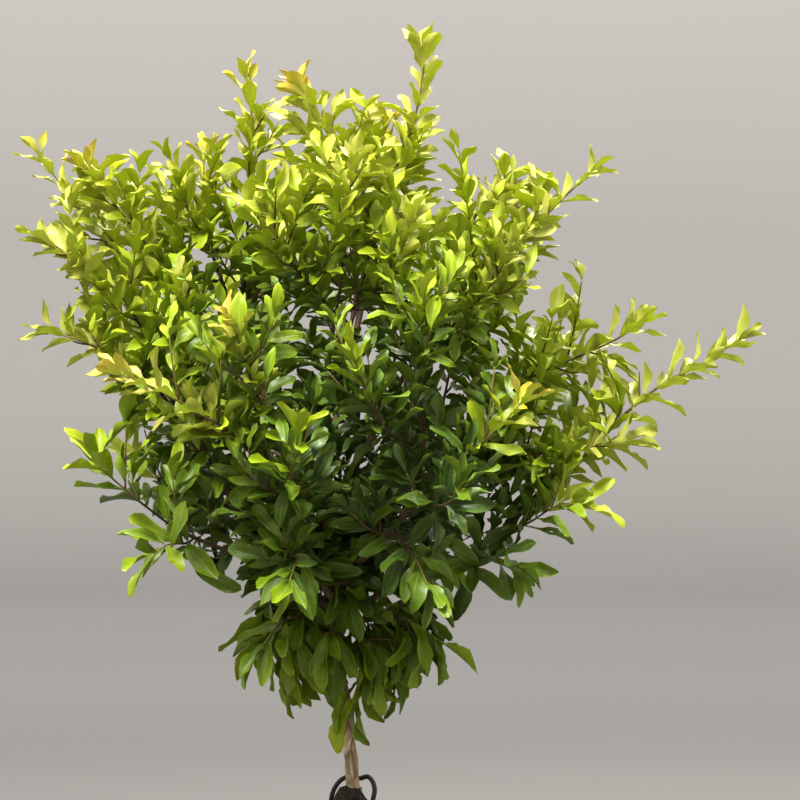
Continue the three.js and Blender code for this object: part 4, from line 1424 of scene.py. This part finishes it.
def cut_out(piece, name, mesh, angle):
    """Cuts a mesh, turned about the pot's axis, out of a piece."""
    tool = bpy.data.objects.new(name, mesh)
    tool.rotation_euler.z = math.radians(angle)
    bpy.context.scene.collection.objects.link(tool)
    cut = piece.modifiers.new(name, "BOOLEAN")
    cut.operation, cut.solver, cut.object = "DIFFERENCE", "EXACT", tool
    settle(piece)
    bpy.data.objects.remove(tool)


def channel():
    """A box that reaches out past the foot."""
    half = CHANNEL_WIDTH / 2
    spans = [(CHANNEL_START, CHANNEL_END), (-half, half), (BELOW, CHANNEL_DEPTH)]
    corners = [[spans[axis][(k >> axis) & 1] / 1000 for axis in range(3)] for k in range(8)]
    faces = [(0, 2, 3, 1), (4, 5, 7, 6), (0, 1, 5, 4), (2, 6, 7, 3), (0, 4, 6, 2), (1, 3, 7, 5)]
    return smooth_mesh("channel", corners, faces)


def drain():
    """A rod through the floor, off the pot's axis."""
    top = FLOOR_Z + 8
    rod = [(0, BELOW), (DRAIN_RADIUS, BELOW), (DRAIN_RADIUS, top), (0, top)]
    mesh = turned_mesh("drain", rod, DRAIN_SEGMENTS)
    for vertex in mesh.vertices:
        vertex.co.x += DRAIN_DISTANCE / 1000
    return mesh


pot_mesh = turned_mesh("clay_pot", [*foot, *outside, *rim, *inside, *floor], POT_SEGMENTS)
pot = new_piece("clay_pot", pot_mesh, "pot", "clay")
for angle in CUT_ANGLES:
    cut_out(pot, "channel", channel(), angle)
    cut_out(pot, "drain", drain(), angle)
pot.data.shade_smooth()
pot.data.set_sharp_from_angle(angle=math.radians(40))
print("pot faces", len(pot.data.polygons))

# %% [markdown]
# Unglazed stoneware is matt. Its brown comes in soft clouds from the fire, with dark specks of
# grit, and the wheel leaves paler rings, so one of the noises is stretched round the wall.

# %% Pot finish
BROWN, LIGHT_BROWN = (0.135, 0.066, 0.036), (0.190, 0.100, 0.058)
SPECK, RING = (0.050, 0.028, 0.018), (0.235, 0.140, 0.090)

stoneware, tree = new_finish("stoneware")
place = place_on_piece(tree)
cloud, grit = grain(place, 38), grain(place, 0.9, 2)
ring = grain(place_on_piece(tree, (0.25, 0.25, 1)), 3.5)
fired = cloud.between(0.35, 0.65).pick(BROWN, LIGHT_BROWN)
fired = (grit.between(0.60, 0.72) * 0.6).pick(fired, SPECK)
fired = (ring.between(0.5, 0.8) * 0.3).pick(fired, RING)
end_finish(principled(fired, 0.66 + 0.18 * cloud, 0.4, bump(ring * 0.6 + grit * 0.4, 0.3, 0.7)))
pot.data.materials.append(stoneware)
print("finish", stoneware.name)

# %% [markdown]
# A wire holds the young tree in its pot: it comes up beside the stem, passes behind it in a low
# loop and goes down again. Blackened aluminium wire is round and softly shiny, so a smooth tube
# along a smooth curve does.

# %% Anchor wire
WIRE_RADIUS, WIRE_SIDES, WIRE_RINGS = 1.45, 16, 110
WIRE_POINTS = [
    [-12, 9, 80], [-12, 9, 90], [-10.4, 8.4, 99], [-7, 8, 105], [-2.5, 8, 108], [2.5, 8, 107.6],
    [6.5, 7.4, 107.6], [10.4, 6.2, 108.6], [13.4, 5, 106], [14.8, 4, 101], [14, 3.4, 96],
    [12.8, 3, 90], [12.4, 3, 80],
]
DARK, SCUFFED = (0.012, 0.012, 0.013), (0.045, 0.042, 0.040)

wire_course = Course(WIRE_POINTS)
strand = Clump()
wire_shares, wire_radii = np.linspace(0.002, 0.998, WIRE_RINGS), np.full(WIRE_RINGS, WIRE_RADIUS)
add_tube(strand, wire_course, wire_shares, wire_radii, WIRE_SIDES)

black_wire, tree = new_finish("black_wire")
scuff = grain(place_on_piece(tree), 2.5, 4)
colour = scuff.between(0.5, 0.75).pick(DARK, SCUFFED)
end_finish(principled(colour, 0.32 + 0.25 * scuff, 0.5, bump(scuff, 0.15, 0.5)))
new_piece("anchor_wire", strand.mesh("anchor_wire"), "anchor_wire", "wire", black_wire)
print("wire length", round(wire_course.length()), "mm")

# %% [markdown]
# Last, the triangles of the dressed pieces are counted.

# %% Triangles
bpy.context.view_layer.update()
added = [thing.data for thing in bpy.data.objects
         if thing.type == "MESH" and thing.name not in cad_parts]
print("triangles", sum(face.loop_total - 2 for mesh in added for face in mesh.polygons))
